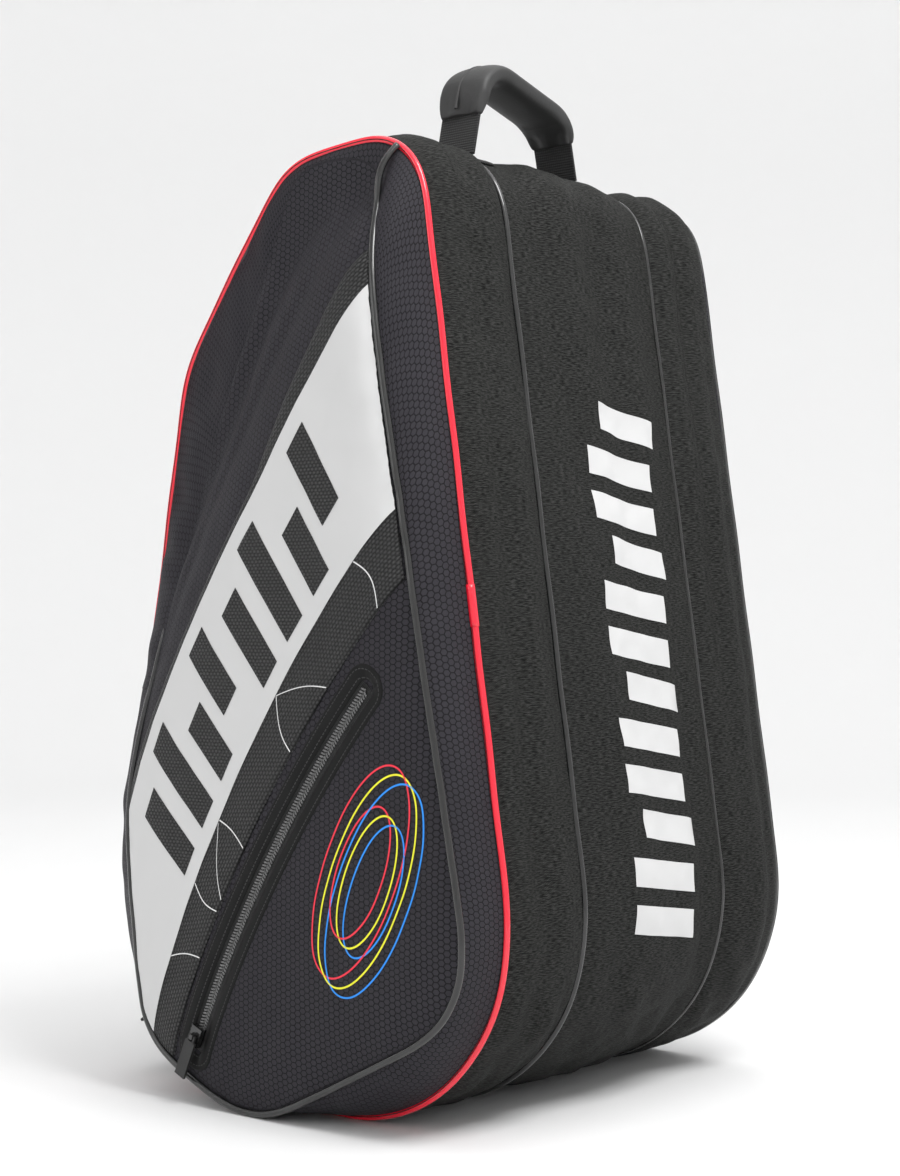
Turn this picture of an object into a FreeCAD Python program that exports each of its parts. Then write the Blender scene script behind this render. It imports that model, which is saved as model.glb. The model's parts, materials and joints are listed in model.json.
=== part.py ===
import FreeCAD, Part
import math
import os

import Sketcher

Vector = FreeCAD.Vector
Placement = FreeCAD.Placement
Rotation = FreeCAD.Rotation

# A three-compartment racket bag, standing on its base. X runs across the front face (the
# carrying straps are on the -X side), Y runs from front to back and Z is up. The origin is
# on the floor, under the middle of the base. All sizes are in millimetres.

SIZES = {
    # outline of the bag in the XZ plane: its corners before they are rounded
    "bag_height": 578.5,
    "base_left": 181.0,
    "base_right": 178.0,
    "top_right": 93.0,
    "top_left": 13.0,
    "top_drop": 8.5,
    "shoulder_left": 101.0,
    "shoulder_drop": 125.5,
    "base_left_round": 120.0,
    "base_right_round": 120.0,
    "top_right_round": 40.0,
    "top_left_round": 45.0,
    "shoulder_round": 80.0,
    # compartments, from front to back
    "front_reach": 142.0,
    "front_depth": 72.0,
    "main_depth": 148.0,
    "rear_depth": 64.0,
    # cloth laminates, boards and piping
    "board_thickness": 6.0,
    "lining_thickness": 0.8,
    "piping_diameter": 4.4,
    "sewing_gap": 0.1,
    # front pocket: its outline corners before rounding
    "pocket_depth": 40.0,
    "pocket_wall": 3.0,
    "pocket_top_margin": 11.5,
    "pocket_top_left": 4.0,
    "pocket_top_right": 67.0,
    "pocket_waist_left": 90.0,
    "pocket_waist_height": 340.0,
    "pocket_hip_left": 122.0,
    "pocket_hip_height": 190.0,
    "pocket_heel_left": 101.0,
    "pocket_heel_height": 35.0,
    "pocket_toe_left": 8.0,
    "pocket_toe_drop": 7.0,
    "pocket_belly_right": 163.0,
    "pocket_belly_height": 78.0,
    "pocket_top_left_round": 12.0,
    "pocket_top_right_round": 25.0,
    "pocket_waist_round": 150.0,
    "pocket_hip_round": 150.0,
    "pocket_heel_round": 40.0,
    "pocket_toe_round": 70.0,
    "pocket_belly_round": 60.0,
    "pocket_piping": 3.6,
    # the upper left part of the pocket face falls away from a ridge line
    "ridge_top_right": 75.0,
    "ridge_top_margin": 51.5,
    "ridge_low_left": 117.0,
    "ridge_low_height": 180.0,
    "ridge_fall": 0.40,
    # its top end curves back to the front panel
    "crown_margin": 51.5,
    "crown_fall": 0.92,
    # pocket zip: an arc between two ends
    "zip_low_left": 53.0,
    "zip_low_height": 36.0,
    "zip_high_right": 85.0,
    "zip_high_height": 254.0,
    "zip_sagitta": 10.0,
    "zip_frame_margin": 8.5,
    "zip_film": 0.6,
    # padded mesh band beside the zip, and the printed film on it
    "band_inner_offset": 15.0,
    "band_outer_offset": 118.0,
    "band_thickness": 4.0,
    "print_inner_offset": 46.0,
    "print_outer_offset": 112.0,
    "band_edge_margin": 3.0,
    # zips: slot, coil, tape, slider and pull
    "slot_width": 9.0,
    "coil_half_width": 2.5,
    "coil_height": 2.4,
    "coil_gap": 0.7,
    "tape_thickness": 0.8,
    "tape_lap": 5.0,
    "tape_depth": 3.0,
    "slider_length": 12.0,
    "slider_plate": 1.7,
    "slider_side": 0.9,
    "slide_clearance": 0.3,
    "slider_park": 18.0,
    "zip_stop": 2.0,
    "lug_length": 3.2,
    "lug_width": 2.4,
    "pin_height": 2.9,
    "pin_diameter": 1.5,
    "pin_clearance": 0.05,
    "pull_length": 24.0,
    "pull_width": 8.4,
    "pull_thickness": 1.6,
    "cheek_width": 1.4,
    "cheek_end": 0.9,
    # mouths of the compartments
    "mouth_end_margin": 5.0,
    "mouth_edge_gap": 1.5,
    "flap_thickness": 3.0,
    "flap_hinge_gap": 3.6,
    "mouth_rim": 7.0,
    "open_edge": 1.0,
    "main_flap_length": 84.0,
    "main_mouth_margin": 4.0,
    # carrying handle on top
    "handle_x": 50.0,
    "handle_foot_margin": 6.0,
    "handle_rear_margin": 26.0,
    "handle_front_lean": 18.0,
    "handle_rear_lean": 14.0,
    "handle_front_rise": 59.5,
    "handle_rear_rise": 37.5,
    "handle_foot_depth": 20.0,
    "handle_front_round": 22.0,
    "handle_rear_round": 28.0,
    "handle_foot_round": 3.0,
    "handle_webbing_width": 30.0,
    "handle_webbing_thickness": 2.5,
    "sleeve_padding": 4.2,
    "sleeve_side": 2.5,
    "sleeve_start": 22.0,
    "anchor_half_width": 17.0,
    "anchor_half_length": 13.0,
    "anchor_overhang": 2.5,
    "anchor_round": 3.0,
    "anchor_thickness": 2.4,
    "handle_axis_gap": 0.6,
    # padded back and shoulder straps, on the -X side
    "back_pad_thickness": 6.0,
    "back_pad_side_margin": 7.0,
    "strap_spacing": 76.0,
    "strap_width": 56.0,
    "strap_thickness": 9.0,
    "strap_lift": 0.5,
    "strap_top_margin": 26.0,
    "strap_low_margin": 4.0,
    "strap_end_gap": 4.0,
    "patch_length": 18.0,
    "patch_thickness": 8.0,
    "webbing_width": 25.0,
    "webbing_thickness": 1.8,
    "webbing_end_gap": 14.0,
    "tab_angle": 215.0,
    "tab_length": 36.0,
    "tab_seam_distance": 32.0,
    "lock_length": 26.0,
    "lock_half": 17.0,
    "lock_round": 3.0,
    "lock_bar": 4.0,
    "lock_slot": 5.0,
    "lock_thickness": 4.5,
    "window_round": 1.0,
    "hinge_clearance": 0.4,
    # board inside the base
    "base_board_width": 72.0,
    "base_board_thickness": 2.5,
    "board_gap": 0.5,
}

doc = FreeCAD.newDocument("RacketBag")
sheet = doc.addObject("Spreadsheet::Sheet", "Dims")
for row, (alias, value) in enumerate(SIZES.items(), start=1):
    sheet.set(f"A{row}", alias)
    sheet.set(f"B{row}", str(value))
    sheet.setAlias(f"B{row}", alias)
doc.recompute()

parts = []
ACROSS_FRONT = Rotation(Vector(1, 0, 0), Vector(0, 0, 1), Vector(0, -1, 0), "ZXY")
ALONG_DEPTH = Rotation(Vector(0, 1, 0), Vector(0, 0, 1), Vector(1, 0, 0), "ZXY")
FAR = 400.0
CUT_REACH = 20.0
RUN_PAST_ENDS = 160.0
FLAP_SWING = 100
PULL_SWING = 160
STRAP_SWING = 20
LOCK_TILT = 25
HANDLE_SWING = 40


# ---------------------------------------------------------------- named sizes and formulas

def size(name):
    """One driving dimension, as a number."""
    return float(SIZES[name])


def formula(*terms):
    """Sum of driving dimensions as an expression; a leading minus subtracts the term."""
    pieces = [f"- Dims.{term[1:]}" if term.startswith("-") else f"+ Dims.{term}" for term in terms]
    return " ".join(pieces).lstrip("+ ")


def total(*terms):
    """The same sum as a number."""
    return sum(-size(term[1:]) if term.startswith("-") else size(term) for term in terms)


def finish(item, label):
    """Name one finished sub-part; its label is the name of its file."""
    item.Label = label
    parts.append(item)
    return item


# ---------------------------------------------------------------- rounded outlines

def corner_arcs(corners):
    """Start, middle and end point of the arc that rounds each corner of an outline."""
    points = [Vector(total(*x), total(*y), 0) for x, y, radius in corners]
    arcs = []
    for index, (x, y, radius) in enumerate(corners):
        corner = points[index]
        back = (points[index - 1] - corner).normalize()
        ahead = (points[(index + 1) % len(points)] - corner).normalize()
        half = back.getAngle(ahead) / 2
        reach = size(radius) / math.tan(half)
        centre = corner + (back + ahead).normalize() * (size(radius) / math.sin(half))
        middle = centre + (corner - centre).normalize() * size(radius)
        arcs.append((corner + back * reach, middle, corner + ahead * reach))
    return arcs


def hold_point(sketch, geometry, label, axis, terms):
    """Hold a corner at a distance from the sketch origin, bound to the sheet."""
    value = total(*terms)
    kind = "DistanceX" if axis == "x" else "DistanceY"
    if not terms:
        axis_line = -2 if axis == "x" else -1
        sketch.addConstraint(Sketcher.Constraint("PointOnObject", geometry, 1, axis_line))
        return
    index = sketch.addConstraint(Sketcher.Constraint(kind, -1, 1, geometry, 1, value))
    name = f"{label}_{axis}"
    sketch.renameConstraint(index, name)
    sketch.setExpression(f"Constraints.{name}", formula(*terms))


def draw_rounded(sketch, corners):
    """Closed outline with rounded corners: construction polygon, edges and tangent arcs."""
    count = len(corners)
    points = [Vector(total(*x), total(*y), 0) for x, y, radius in corners]
    arcs = corner_arcs(corners)
    for index in range(count):
        edge = Part.LineSegment(points[index], points[(index + 1) % count])
        sketch.addGeometry(edge, True)
    for index in range(count):
        joint = Sketcher.Constraint("Coincident", index, 2, (index + 1) % count, 1)
        sketch.addConstraint(joint)
    for index, (x, y, radius) in enumerate(corners):
        hold_point(sketch, index, f"corner{index}", "x", x)
        hold_point(sketch, index, f"corner{index}", "y", y)
    edges = []
    for index in range(count):
        edge = Part.LineSegment(arcs[index][2], arcs[(index + 1) % count][0])
        edges.append(sketch.addGeometry(edge, False))
        for end in (1, 2):
            sketch.addConstraint(Sketcher.Constraint("PointOnObject", edges[-1], end, index))
    for index, (start, middle, end) in enumerate(arcs):
        arc = sketch.addGeometry(Part.Arc(start, middle, end), False)
        forward = (sketch.Geometry[arc].StartPoint - start).Length < 1e-6
        first, last = (1, 2) if forward else (2, 1)
        sketch.addConstraint(Sketcher.Constraint("Tangent", edges[index - 1], 2, arc, first))
        sketch.addConstraint(Sketcher.Constraint("Tangent", edges[index], 1, arc, last))
        radius = corners[index][2]
        constraint = sketch.addConstraint(Sketcher.Constraint("Radius", arc, size(radius)))
        sketch.renameConstraint(constraint, f"round{index}")
        sketch.setExpression(f"Constraints.round{index}", f"Dims.{radius}")


def outline(name, corners, rotation):
    """A rounded outline as a sketch of its own, in a plane through the origin."""
    sketch = doc.addObject("Sketcher::SketchObject", name)
    sketch.Placement = Placement(Vector(0, 0, 0), rotation)
    draw_rounded(sketch, corners)
    return sketch


def inset(name, source, distance):
    """The same outline moved inwards (or outwards, with a positive distance)."""
    ring = doc.addObject("Part::Offset2D", name)
    ring.Source = source
    ring.setExpression("Value", distance)
    return ring


def slab(name, source, start, thickness):
    """An XZ outline given a thickness along Y, from the place that start says."""
    item = doc.addObject("Part::Extrusion", name)
    item.Base = source
    item.DirMode = "Custom"
    item.Dir = Vector(0, 1, 0)
    item.Solid = True
    item.setExpression("LengthFwd", thickness)
    item.setExpression("Placement.Base.y", start)
    return item


# ---------------------------------------------------------------- blocks and booleans

def at(frame, x=0.0, y=0.0, z=0.0):
    """A place given in a local frame, as a placement in the bag's frame."""
    return frame.multiply(Placement(Vector(x, y, z), Rotation()))


def frame_of(origin, along, across):
    """A local frame on a surface: X along, Y across and Z out of the surface."""
    outward = along.cross(across)
    return Placement(origin, Rotation(along, across, outward, "ZXY"))


def block(name, place, length, width, height):
    """A box whose three sizes are expressions."""
    item = doc.addObject("Part::Box", name)
    item.setExpression("Length", length)
    item.setExpression("Width", width)
    item.setExpression("Height", height)
    item.Placement = place
    return item


def big_block(name, place):
    """A box that is larger than the bag, for trimming."""
    item = doc.addObject("Part::Box", name)
    item.Length = item.Width = item.Height = 2 * FAR
    item.Placement = place
    return item


def cut(name, base, tool):
    item = doc.addObject("Part::Cut", name)
    item.Base = base
    item.Tool = tool
    return item


def common(name, base, tool):
    item = doc.addObject("Part::Common", name)
    item.Base = base
    item.Tool = tool
    return item


def fuse(name, shapes):
    item = doc.addObject("Part::MultiFuse", name)
    item.Shapes = shapes
    return item


# ---------------------------------------------------------------- outline of the bag

BAG_CORNERS = [
    (["-base_left"], [], "base_left_round"),
    (["base_right"], [], "base_right_round"),
    (["top_right"], ["bag_height"], "top_right_round"),
    (["-top_left"], ["bag_height", "-top_drop"], "top_left_round"),
    (["-shoulder_left"], ["bag_height", "-shoulder_drop"], "shoulder_round"),
]
bag_outline = outline("BagOutline", BAG_CORNERS, ACROSS_FRONT)
inner_outline = inset("InnerOutline", bag_outline, "-Dims.piping_diameter - Dims.sewing_gap")
lining_outline = inset("LiningOutline", bag_outline,
                       "-Dims.piping_diameter - Dims.sewing_gap - Dims.lining_thickness")
seam_line = inset("SeamLine", bag_outline, "-(Dims.piping_diameter + Dims.sewing_gap) / 2")

SEAMS = [
    ["-front_reach"],
    ["-front_reach", "front_depth"],
    ["-front_reach", "front_depth", "main_depth"],
    ["-front_reach", "front_depth", "main_depth", "rear_depth"],
]
BOARDS = ["front_panel", "front_divider", "rear_divider", "rear_panel"]
PIPINGS = ["front_piping", "front_seam_piping", "rear_seam_piping", "rear_piping"]
COMPARTMENTS = ["front", "main", "rear"]
front_seam, main_seam, rear_seam, back_seam = [total(*terms) for terms in SEAMS]


def side_point(corner, end):
    """An arc end of the bag outline, as a point in the XZ plane."""
    flat = corner_arcs(BAG_CORNERS)[corner][end]
    return Vector(flat.x, 0, flat.y)


SIDE_FOOT = side_point(0, 0)
SIDE_HEAD = side_point(4, 2)
FACET_LOW = side_point(4, 0)
FACET_HIGH = side_point(3, 2)
TOP_LEFT = side_point(3, 0)
TOP_RIGHT = side_point(2, 2)
SIDE_UP = (SIDE_HEAD - SIDE_FOOT).normalize()
SIDE_LENGTH = (SIDE_HEAD - SIDE_FOOT).Length
FACET_DOWN = (FACET_LOW - FACET_HIGH).normalize()
TOP_RUN = (TOP_RIGHT - TOP_LEFT).normalize()
DEPTH = Vector(0, 1, 0)


# ---------------------------------------------------------------- motions

motions = []


def motion(name, kind, point, axis, low, high):
    """Note one joint: its point and axis in the bag's frame, and its limits in mm or degrees."""
    motions.append((name, kind, tuple(point), tuple(axis), low, high))


# ---------------------------------------------------------------- zips, sliders and pulls

TAPE_LEVEL = total("-tape_depth", "-tape_thickness")
COIL_TOP = total("-tape_depth", "coil_height")
PLATE_LEVEL = COIL_TOP + size("slide_clearance")
SLOT_MIDDLE = size("slot_width") / 2
SLIDER_WIDTH = "Dims.slot_width - 2 * Dims.slide_clearance"


def make_slider(label, place):
    """Slider: a plate over the coil, two sides beside it, and a drilled lug for the pull."""
    half = SLOT_MIDDLE - size("slide_clearance")
    back = -size("slider_length") / 2
    low = -size("tape_depth") + size("slide_clearance")
    plate = block(f"{label}Plate", at(place, back, -half, PLATE_LEVEL),
                  "Dims.slider_length", SLIDER_WIDTH, "Dims.slider_plate")
    left = block(f"{label}Left", at(place, back, -half, low),
                 "Dims.slider_length", "Dims.slider_side", "Dims.coil_height")
    right = block(f"{label}Right", at(place, back, half - size("slider_side"), low),
                  "Dims.slider_length", "Dims.slider_side", "Dims.coil_height")
    lug = block(f"{label}Lug", at(place, -size("lug_length") / 2, -size("lug_width") / 2, PLATE_LEVEL),
                "Dims.lug_length", "Dims.lug_width", "Dims.pin_height + Dims.pin_diameter"
                " + Dims.tape_depth - Dims.coil_height - Dims.slide_clearance")
    hole = doc.addObject("Part::Cylinder", f"{label}Hole")
    hole.setExpression("Radius", "Dims.pin_diameter / 2 + Dims.pin_clearance")
    hole.setExpression("Height", "Dims.slot_width")
    across = Placement(Vector(0, SLOT_MIDDLE, size("pin_height")), Rotation(Vector(1, 0, 0), 90))
    hole.Placement = place.multiply(across)
    body = fuse(f"{label}Body", [plate, left, right, lug])
    return finish(cut(f"{label}Drilled", body, hole), label)


def make_pull(label, place, hinge):
    """Pull: a tongue with two cheeks and a pin through the slider's lug; it turns up about Y."""
    level = size("pin_height") - size("pull_thickness") / 2
    reach = size("lug_length") / 2 + size("cheek_width")
    width = size("pull_width")
    inner = size("lug_width") / 2 + size("slide_clearance")
    tongue = block(f"{label}Tongue", at(place, -reach - size("pull_length"), -width / 2, level),
                   "Dims.pull_length", "Dims.pull_width", "Dims.pull_thickness")
    cheeks = []
    for name, edge in (("Left", -inner - size("cheek_width")), ("Right", inner)):
        cheeks.append(block(f"{label}{name}", at(place, -reach, edge, level),
                            "Dims.lug_length / 2 + Dims.cheek_width + Dims.cheek_end",
                            "Dims.cheek_width", "Dims.pull_thickness"))
    pin = doc.addObject("Part::Cylinder", f"{label}Pin")
    pin.setExpression("Radius", "Dims.pin_diameter / 2")
    pin.setExpression("Height", "Dims.lug_width + 2 * Dims.slide_clearance + 2 * Dims.cheek_width")
    across = Placement(Vector(0, inner + size("cheek_width"), size("pin_height")),
                       Rotation(Vector(1, 0, 0), 90))
    pin.Placement = place.multiply(across)
    axis = place.Rotation.multVec(Vector(0, 1, 0))
    motion(hinge, "hinge", at(place, z=size("pin_height")).Base, axis, 0, PULL_SWING)
    return finish(fuse(f"{label}Whole", [tongue, pin] + cheeks), label)


# ---------------------------------------------------------------- mouths with a flap and a zip

def make_mouth(name, frame, slot_length, slot_formula, flap_width, flap_formula, open_edge):
    """A flap hinged along one edge of its opening, closed by a straight zip along the other.

    The frame starts at the opening's hinge edge: X runs along the hinge, Y across the flap
    towards the zip and Z out of the cloth. It returns the tool that cuts the opening.
    """
    park = size("slider_park")
    gap = size("mouth_edge_gap")
    hinge = size("flap_hinge_gap")
    edge = hinge + flap_width
    middle = edge + SLOT_MIDDLE
    split = size("coil_gap") / 2
    flap_run = f"{slot_formula} - 2 * Dims.slider_park"
    end_run = "Dims.slider_park - Dims.mouth_edge_gap"
    tape_width = "Dims.slot_width / 2 - Dims.coil_gap / 2"
    opening = block(f"{name}Opening", at(frame, park - gap, -open_edge, -CUT_REACH),
                    f"{flap_run} + 2 * Dims.mouth_edge_gap",
                    f"{flap_formula} + Dims.flap_hinge_gap + {open_edge}", f"{2 * CUT_REACH}")
    slot = block(f"{name}Slot", at(frame, 0, edge, -CUT_REACH),
                 slot_formula, "Dims.slot_width", f"{2 * CUT_REACH}")
    flap = block(f"{name}Flap", at(frame, park, hinge, -size("flap_thickness")),
                 flap_run, flap_formula, "Dims.flap_thickness")
    finish(flap, f"{name}_flap")
    moving = [
        block(f"{name}MovingTape", at(frame, park, edge - size("tape_lap"), TAPE_LEVEL),
              flap_run, f"{tape_width} + Dims.tape_lap", "Dims.tape_thickness"),
        block(f"{name}MovingCoil", at(frame, park, middle - split - size("coil_half_width"),
                                      -size("tape_depth")),
              flap_run, "Dims.coil_half_width", "Dims.coil_height"),
    ]
    finish(fuse(f"{name}MovingZip", moving), f"{name}_flap_zip")
    fixed = [
        block(f"{name}FixedTape", at(frame, 0, middle + split, TAPE_LEVEL),
              slot_formula, tape_width, "Dims.tape_thickness"),
        block(f"{name}FixedCoil", at(frame, 0, middle + split, -size("tape_depth")),
              slot_formula, "Dims.coil_half_width", "Dims.coil_height"),
    ]
    for index, start in enumerate((0, slot_length - park + gap)):
        fixed.append(block(f"{name}EndTape{index}", at(frame, start, edge, TAPE_LEVEL),
                           end_run, "Dims.slot_width / 2 + Dims.coil_gap", "Dims.tape_thickness"))
        fixed.append(block(f"{name}EndCoil{index}",
                           at(frame, start, middle - split - size("coil_half_width"),
                              -size("tape_depth")),
                           end_run, "Dims.coil_half_width + Dims.coil_gap", "Dims.coil_height"))
    finish(fuse(f"{name}FixedZip", fixed), f"{name}_zip")
    along = frame.Rotation.multVec(Vector(1, 0, 0))
    motion(f"{name}_flap_open", "hinge", at(frame, 0, hinge).Base, along, 0, FLAP_SWING)
    low, high = at(frame, 0, middle).Base, at(frame, slot_length, middle).Base
    if low.z > high.z:
        low, high = high, low
    travel = (high - low).normalize()
    outward = frame.Rotation.multVec(Vector(0, 0, 1))
    stop = size("slider_length") / 2 + size("zip_stop")
    place = frame_of(low + travel * stop, travel, outward.cross(travel))
    make_slider(f"{name}_slider", place)
    motion(f"{name}_slider_run", "slide", place.Base, travel, 0, slot_length - 2 * stop)
    make_pull(f"{name}_pull", place, f"{name}_pull_turn")
    return fuse(f"{name}Mouth", [opening, slot])


RIM = total("piping_diameter") / 2 + size("sewing_gap")
SIDE_SLOT = SIDE_LENGTH - 2 * size("mouth_end_margin")
SIDE_FLAP = "- Dims.piping_diameter - 2 * Dims.sewing_gap - Dims.flap_hinge_gap - Dims.slot_width" \
            " - Dims.mouth_rim"
SIDE_FLAP_TERMS = ["-piping_diameter", "-sewing_gap", "-sewing_gap", "-flap_hinge_gap",
                   "-slot_width", "-mouth_rim"]
side_low = SIDE_FOOT + SIDE_UP * size("mouth_end_margin")
side_high = SIDE_HEAD - SIDE_UP * size("mouth_end_margin")
facet_start = FACET_HIGH + FACET_DOWN * size("main_mouth_margin")

mouths = {
    "front": make_mouth("front", frame_of(side_low + DEPTH * (front_seam + RIM), SIDE_UP, DEPTH),
                        SIDE_SLOT, f"{SIDE_SLOT}", total("front_depth", *SIDE_FLAP_TERMS),
                        f"Dims.front_depth {SIDE_FLAP}", size("open_edge")),
    "rear": make_mouth("rear", frame_of(side_high + DEPTH * (back_seam - RIM), -SIDE_UP, -DEPTH),
                       SIDE_SLOT, f"{SIDE_SLOT}", total("rear_depth", *SIDE_FLAP_TERMS),
                       f"Dims.rear_depth {SIDE_FLAP}", size("open_edge")),
    "main": make_mouth("main", frame_of(facet_start + DEPTH * (main_seam + RIM + size("main_mouth_margin")),
                                        DEPTH, FACET_DOWN),
                       size("main_depth") - 2 * RIM - 2 * size("main_mouth_margin"),
                       "Dims.main_depth - Dims.piping_diameter - 2 * Dims.sewing_gap"
                       " - 2 * Dims.main_mouth_margin",
                       size("main_flap_length"), "Dims.main_flap_length", 0),
}


# ---------------------------------------------------------------- boards, gussets and linings

for index, terms in enumerate(SEAMS):
    middle = formula(*terms)
    board = slab(f"Board{index}", inner_outline, f"{middle} - Dims.board_thickness / 2",
                 "Dims.board_thickness")
    finish(board, BOARDS[index])

DEPTHS = ["front_depth", "main_depth", "rear_depth"]
for index, name in enumerate(COMPARTMENTS):
    seam = formula(*SEAMS[index])
    start = f"{seam} + Dims.piping_diameter / 2 + Dims.sewing_gap"
    depth = f"Dims.{DEPTHS[index]} - Dims.piping_diameter - 2 * Dims.sewing_gap"
    outer = slab(f"{name}GussetOuter", bag_outline, start, depth)
    inner = slab(f"{name}GussetInner", inner_outline, start, depth)
    ring = cut(f"{name}GussetRing", outer, inner)
    finish(cut(f"{name}Gusset", ring, mouths[name]), f"{name}_gusset")
    start = f"{seam} + Dims.board_thickness / 2"
    depth = f"Dims.{DEPTHS[index]} - Dims.board_thickness"
    outer = slab(f"{name}LiningOuter", inner_outline, start, depth)
    inner = slab(f"{name}LiningInner", lining_outline, start, depth)
    ring = cut(f"{name}LiningRing", outer, inner)
    finish(cut(f"{name}Lining", ring, mouths[name]), f"{name}_lining")


# ---------------------------------------------------------------- piping

def make_piping(label, seam):
    """A round cord along the whole seam line, half sunk between the cloth edges."""
    first = seam_line.Shape.Edges[0]
    point = first.valueAt(first.FirstParameter)
    tangent = first.tangentAt(first.FirstParameter)
    section = doc.addObject("Part::Circle", f"{label}Section")
    section.setExpression("Radius", "Dims.piping_diameter / 2")
    section.Placement = Placement(point, Rotation(Vector(0, 0, 1), tangent))
    cord = doc.addObject("Part::Sweep", f"{label}Cord")
    cord.Sections = [section]
    cord.Spine = (seam_line, [f"Edge{i + 1}" for i in range(len(seam_line.Shape.Edges))])
    cord.Solid = True
    cord.Transition = "Round corner"
    cord.setExpression("Placement.Base.y", seam)
    return finish(cord, label)


doc.recompute()
for label, terms in zip(PIPINGS, SEAMS):
    make_piping(label, formula(*terms))


# ---------------------------------------------------------------- front pocket

POCKET_CORNERS = [
    (["-pocket_toe_left"], ["-pocket_toe_drop"], "pocket_toe_round"),
    (["pocket_belly_right"], ["pocket_belly_height"], "pocket_belly_round"),
    (["pocket_top_right"], ["bag_height", "-pocket_top_margin"], "pocket_top_right_round"),
    (["-pocket_top_left"], ["bag_height", "-pocket_top_margin"], "pocket_top_left_round"),
    (["-pocket_waist_left"], ["pocket_waist_height"], "pocket_waist_round"),
    (["-pocket_hip_left"], ["pocket_hip_height"], "pocket_hip_round"),
    (["-pocket_heel_left"], ["pocket_heel_height"], "pocket_heel_round"),
]
pocket_outline = outline("PocketOutline", POCKET_CORNERS, ACROSS_FRONT)
pocket_inside = inset("PocketInside", pocket_outline, "-Dims.pocket_wall")
pocket_rim = inset("PocketRim", pocket_outline, "Dims.pocket_piping")
band_limit = inset("BandLimit", pocket_outline, "-Dims.band_edge_margin")
face_y = front_seam - size("pocket_depth")

# the ridge frame: X up along the ridge, Y down the falling face, Z out of the bag
ridge_low = Vector(-size("ridge_low_left"), 0, size("ridge_low_height"))
ridge_top = Vector(size("ridge_top_right"), 0, total("bag_height", "-ridge_top_margin"))
ridge_run = (ridge_top - ridge_low).normalize()
fall_run = (Vector(-ridge_run.z, size("ridge_fall"), ridge_run.x)).normalize()


def falling_face(name, shift):
    """Trims everything in front of the falling part of the pocket face."""
    origin = ridge_low - ridge_run * FAR + DEPTH * (face_y + shift)
    frame = Placement(origin, Rotation(ridge_run, fall_run, ridge_run.cross(fall_run), "ZXY"))
    return big_block(name, frame)


def falling_crown(name, shift):
    """Trims everything in front of the top end of the pocket face."""
    origin = Vector(FAR, face_y + shift, total("bag_height", "-crown_margin"))
    fall = Vector(0, size("crown_fall"), 1).normalize()
    frame = Placement(origin, Rotation(Vector(-1, 0, 0), fall, Vector(-1, 0, 0).cross(fall), "ZXY"))
    return big_block(name, frame)


def pocket_slab(name, source, shift):
    """A pocket outline from the front panel forwards, with its falling faces trimmed."""
    depth = f"Dims.pocket_depth - Dims.board_thickness / 2 - {shift}"
    start = f"- Dims.front_reach - Dims.pocket_depth + {shift}"
    whole = slab(name, source, start, depth)
    trimmed = cut(f"{name}Trimmed", whole, falling_face(f"{name}Fall", shift))
    return cut(f"{name}Crowned", trimmed, falling_crown(f"{name}Crown", shift))


# zip arc: from its low end to its high end it turns about +Y round a far centre
zip_low = Vector(-size("zip_low_left"), 0, size("zip_low_height"))
zip_high = Vector(size("zip_high_right"), 0, size("zip_high_height"))
zip_chord = (zip_high - zip_low).Length
zip_radius = zip_chord ** 2 / (8 * size("zip_sagitta")) + size("zip_sagitta") / 2
chord_run = (zip_high - zip_low).normalize()
centre_side = DEPTH.cross(chord_run) * -1
if centre_side.x < 0:
    centre_side = centre_side * -1
zip_centre = (zip_low + zip_high) / 2 + centre_side * (zip_radius - size("zip_sagitta"))
ARC_DEGREES = math.degrees(2 * math.asin(zip_chord / 2 / zip_radius))


def arc_degrees(length):
    """The angle that a length of the zip line spans."""
    return math.degrees(length / zip_radius)


def arc_strip(name, inner, outer, front, thickness, margin):
    """A strip between two offsets from the zip line, flat in a plane of constant Y."""
    start = (zip_low - zip_centre).normalize()
    frame = Placement(zip_centre + DEPTH * front, Rotation(start, start.cross(DEPTH) * -1, DEPTH, "ZXY"))
    turn = Placement(Vector(0, 0, 0), Rotation(Vector(0, 0, 1), -arc_degrees(margin)))
    rings = []
    for side, offset in (("Inner", inner), ("Outer", outer)):
        disc = doc.addObject("Part::Cylinder", f"{name}{side}")
        disc.setExpression("Radius", f"{zip_radius} + {offset}")
        disc.setExpression("Height", thickness)
        disc.Angle = ARC_DEGREES + 2 * arc_degrees(margin)
        disc.Placement = frame.multiply(turn)
        rings.append(disc)
    return cut(f"{name}Strip", rings[1], rings[0])


def arc_frame(length):
    """Local frame on the pocket face at a distance along the zip line."""
    turn = Rotation(DEPTH, arc_degrees(length))
    radial = turn.multVec((zip_low - zip_centre).normalize())
    along = DEPTH.cross(radial)
    return frame_of(zip_centre + radial * zip_radius + DEPTH * face_y, along, (-DEPTH).cross(along))


HALF_SLOT = "Dims.slot_width / 2"
slot_cut = arc_strip("PocketSlot", f"-{HALF_SLOT}", HALF_SLOT, face_y - CUT_REACH,
                     f"{2 * CUT_REACH}", 0)
shell = cut("PocketHollow", pocket_slab("PocketOuter", pocket_outline, 0),
            pocket_slab("PocketInner", pocket_inside, size("pocket_wall")))
finish(cut("PocketShell", shell, slot_cut), "pocket_shell")
rim_ring = cut("PocketRimRing", pocket_slab("PocketRimOuter", pocket_rim, 0),
               slab("PocketRimHole", pocket_outline, "- Dims.front_reach - Dims.pocket_depth",
                    "Dims.pocket_depth"))
finish(cut("PocketPiping", rim_ring, pocket_slab("PocketRimBack", pocket_rim,
                                              size("pocket_piping"))), "pocket_piping")

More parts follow.
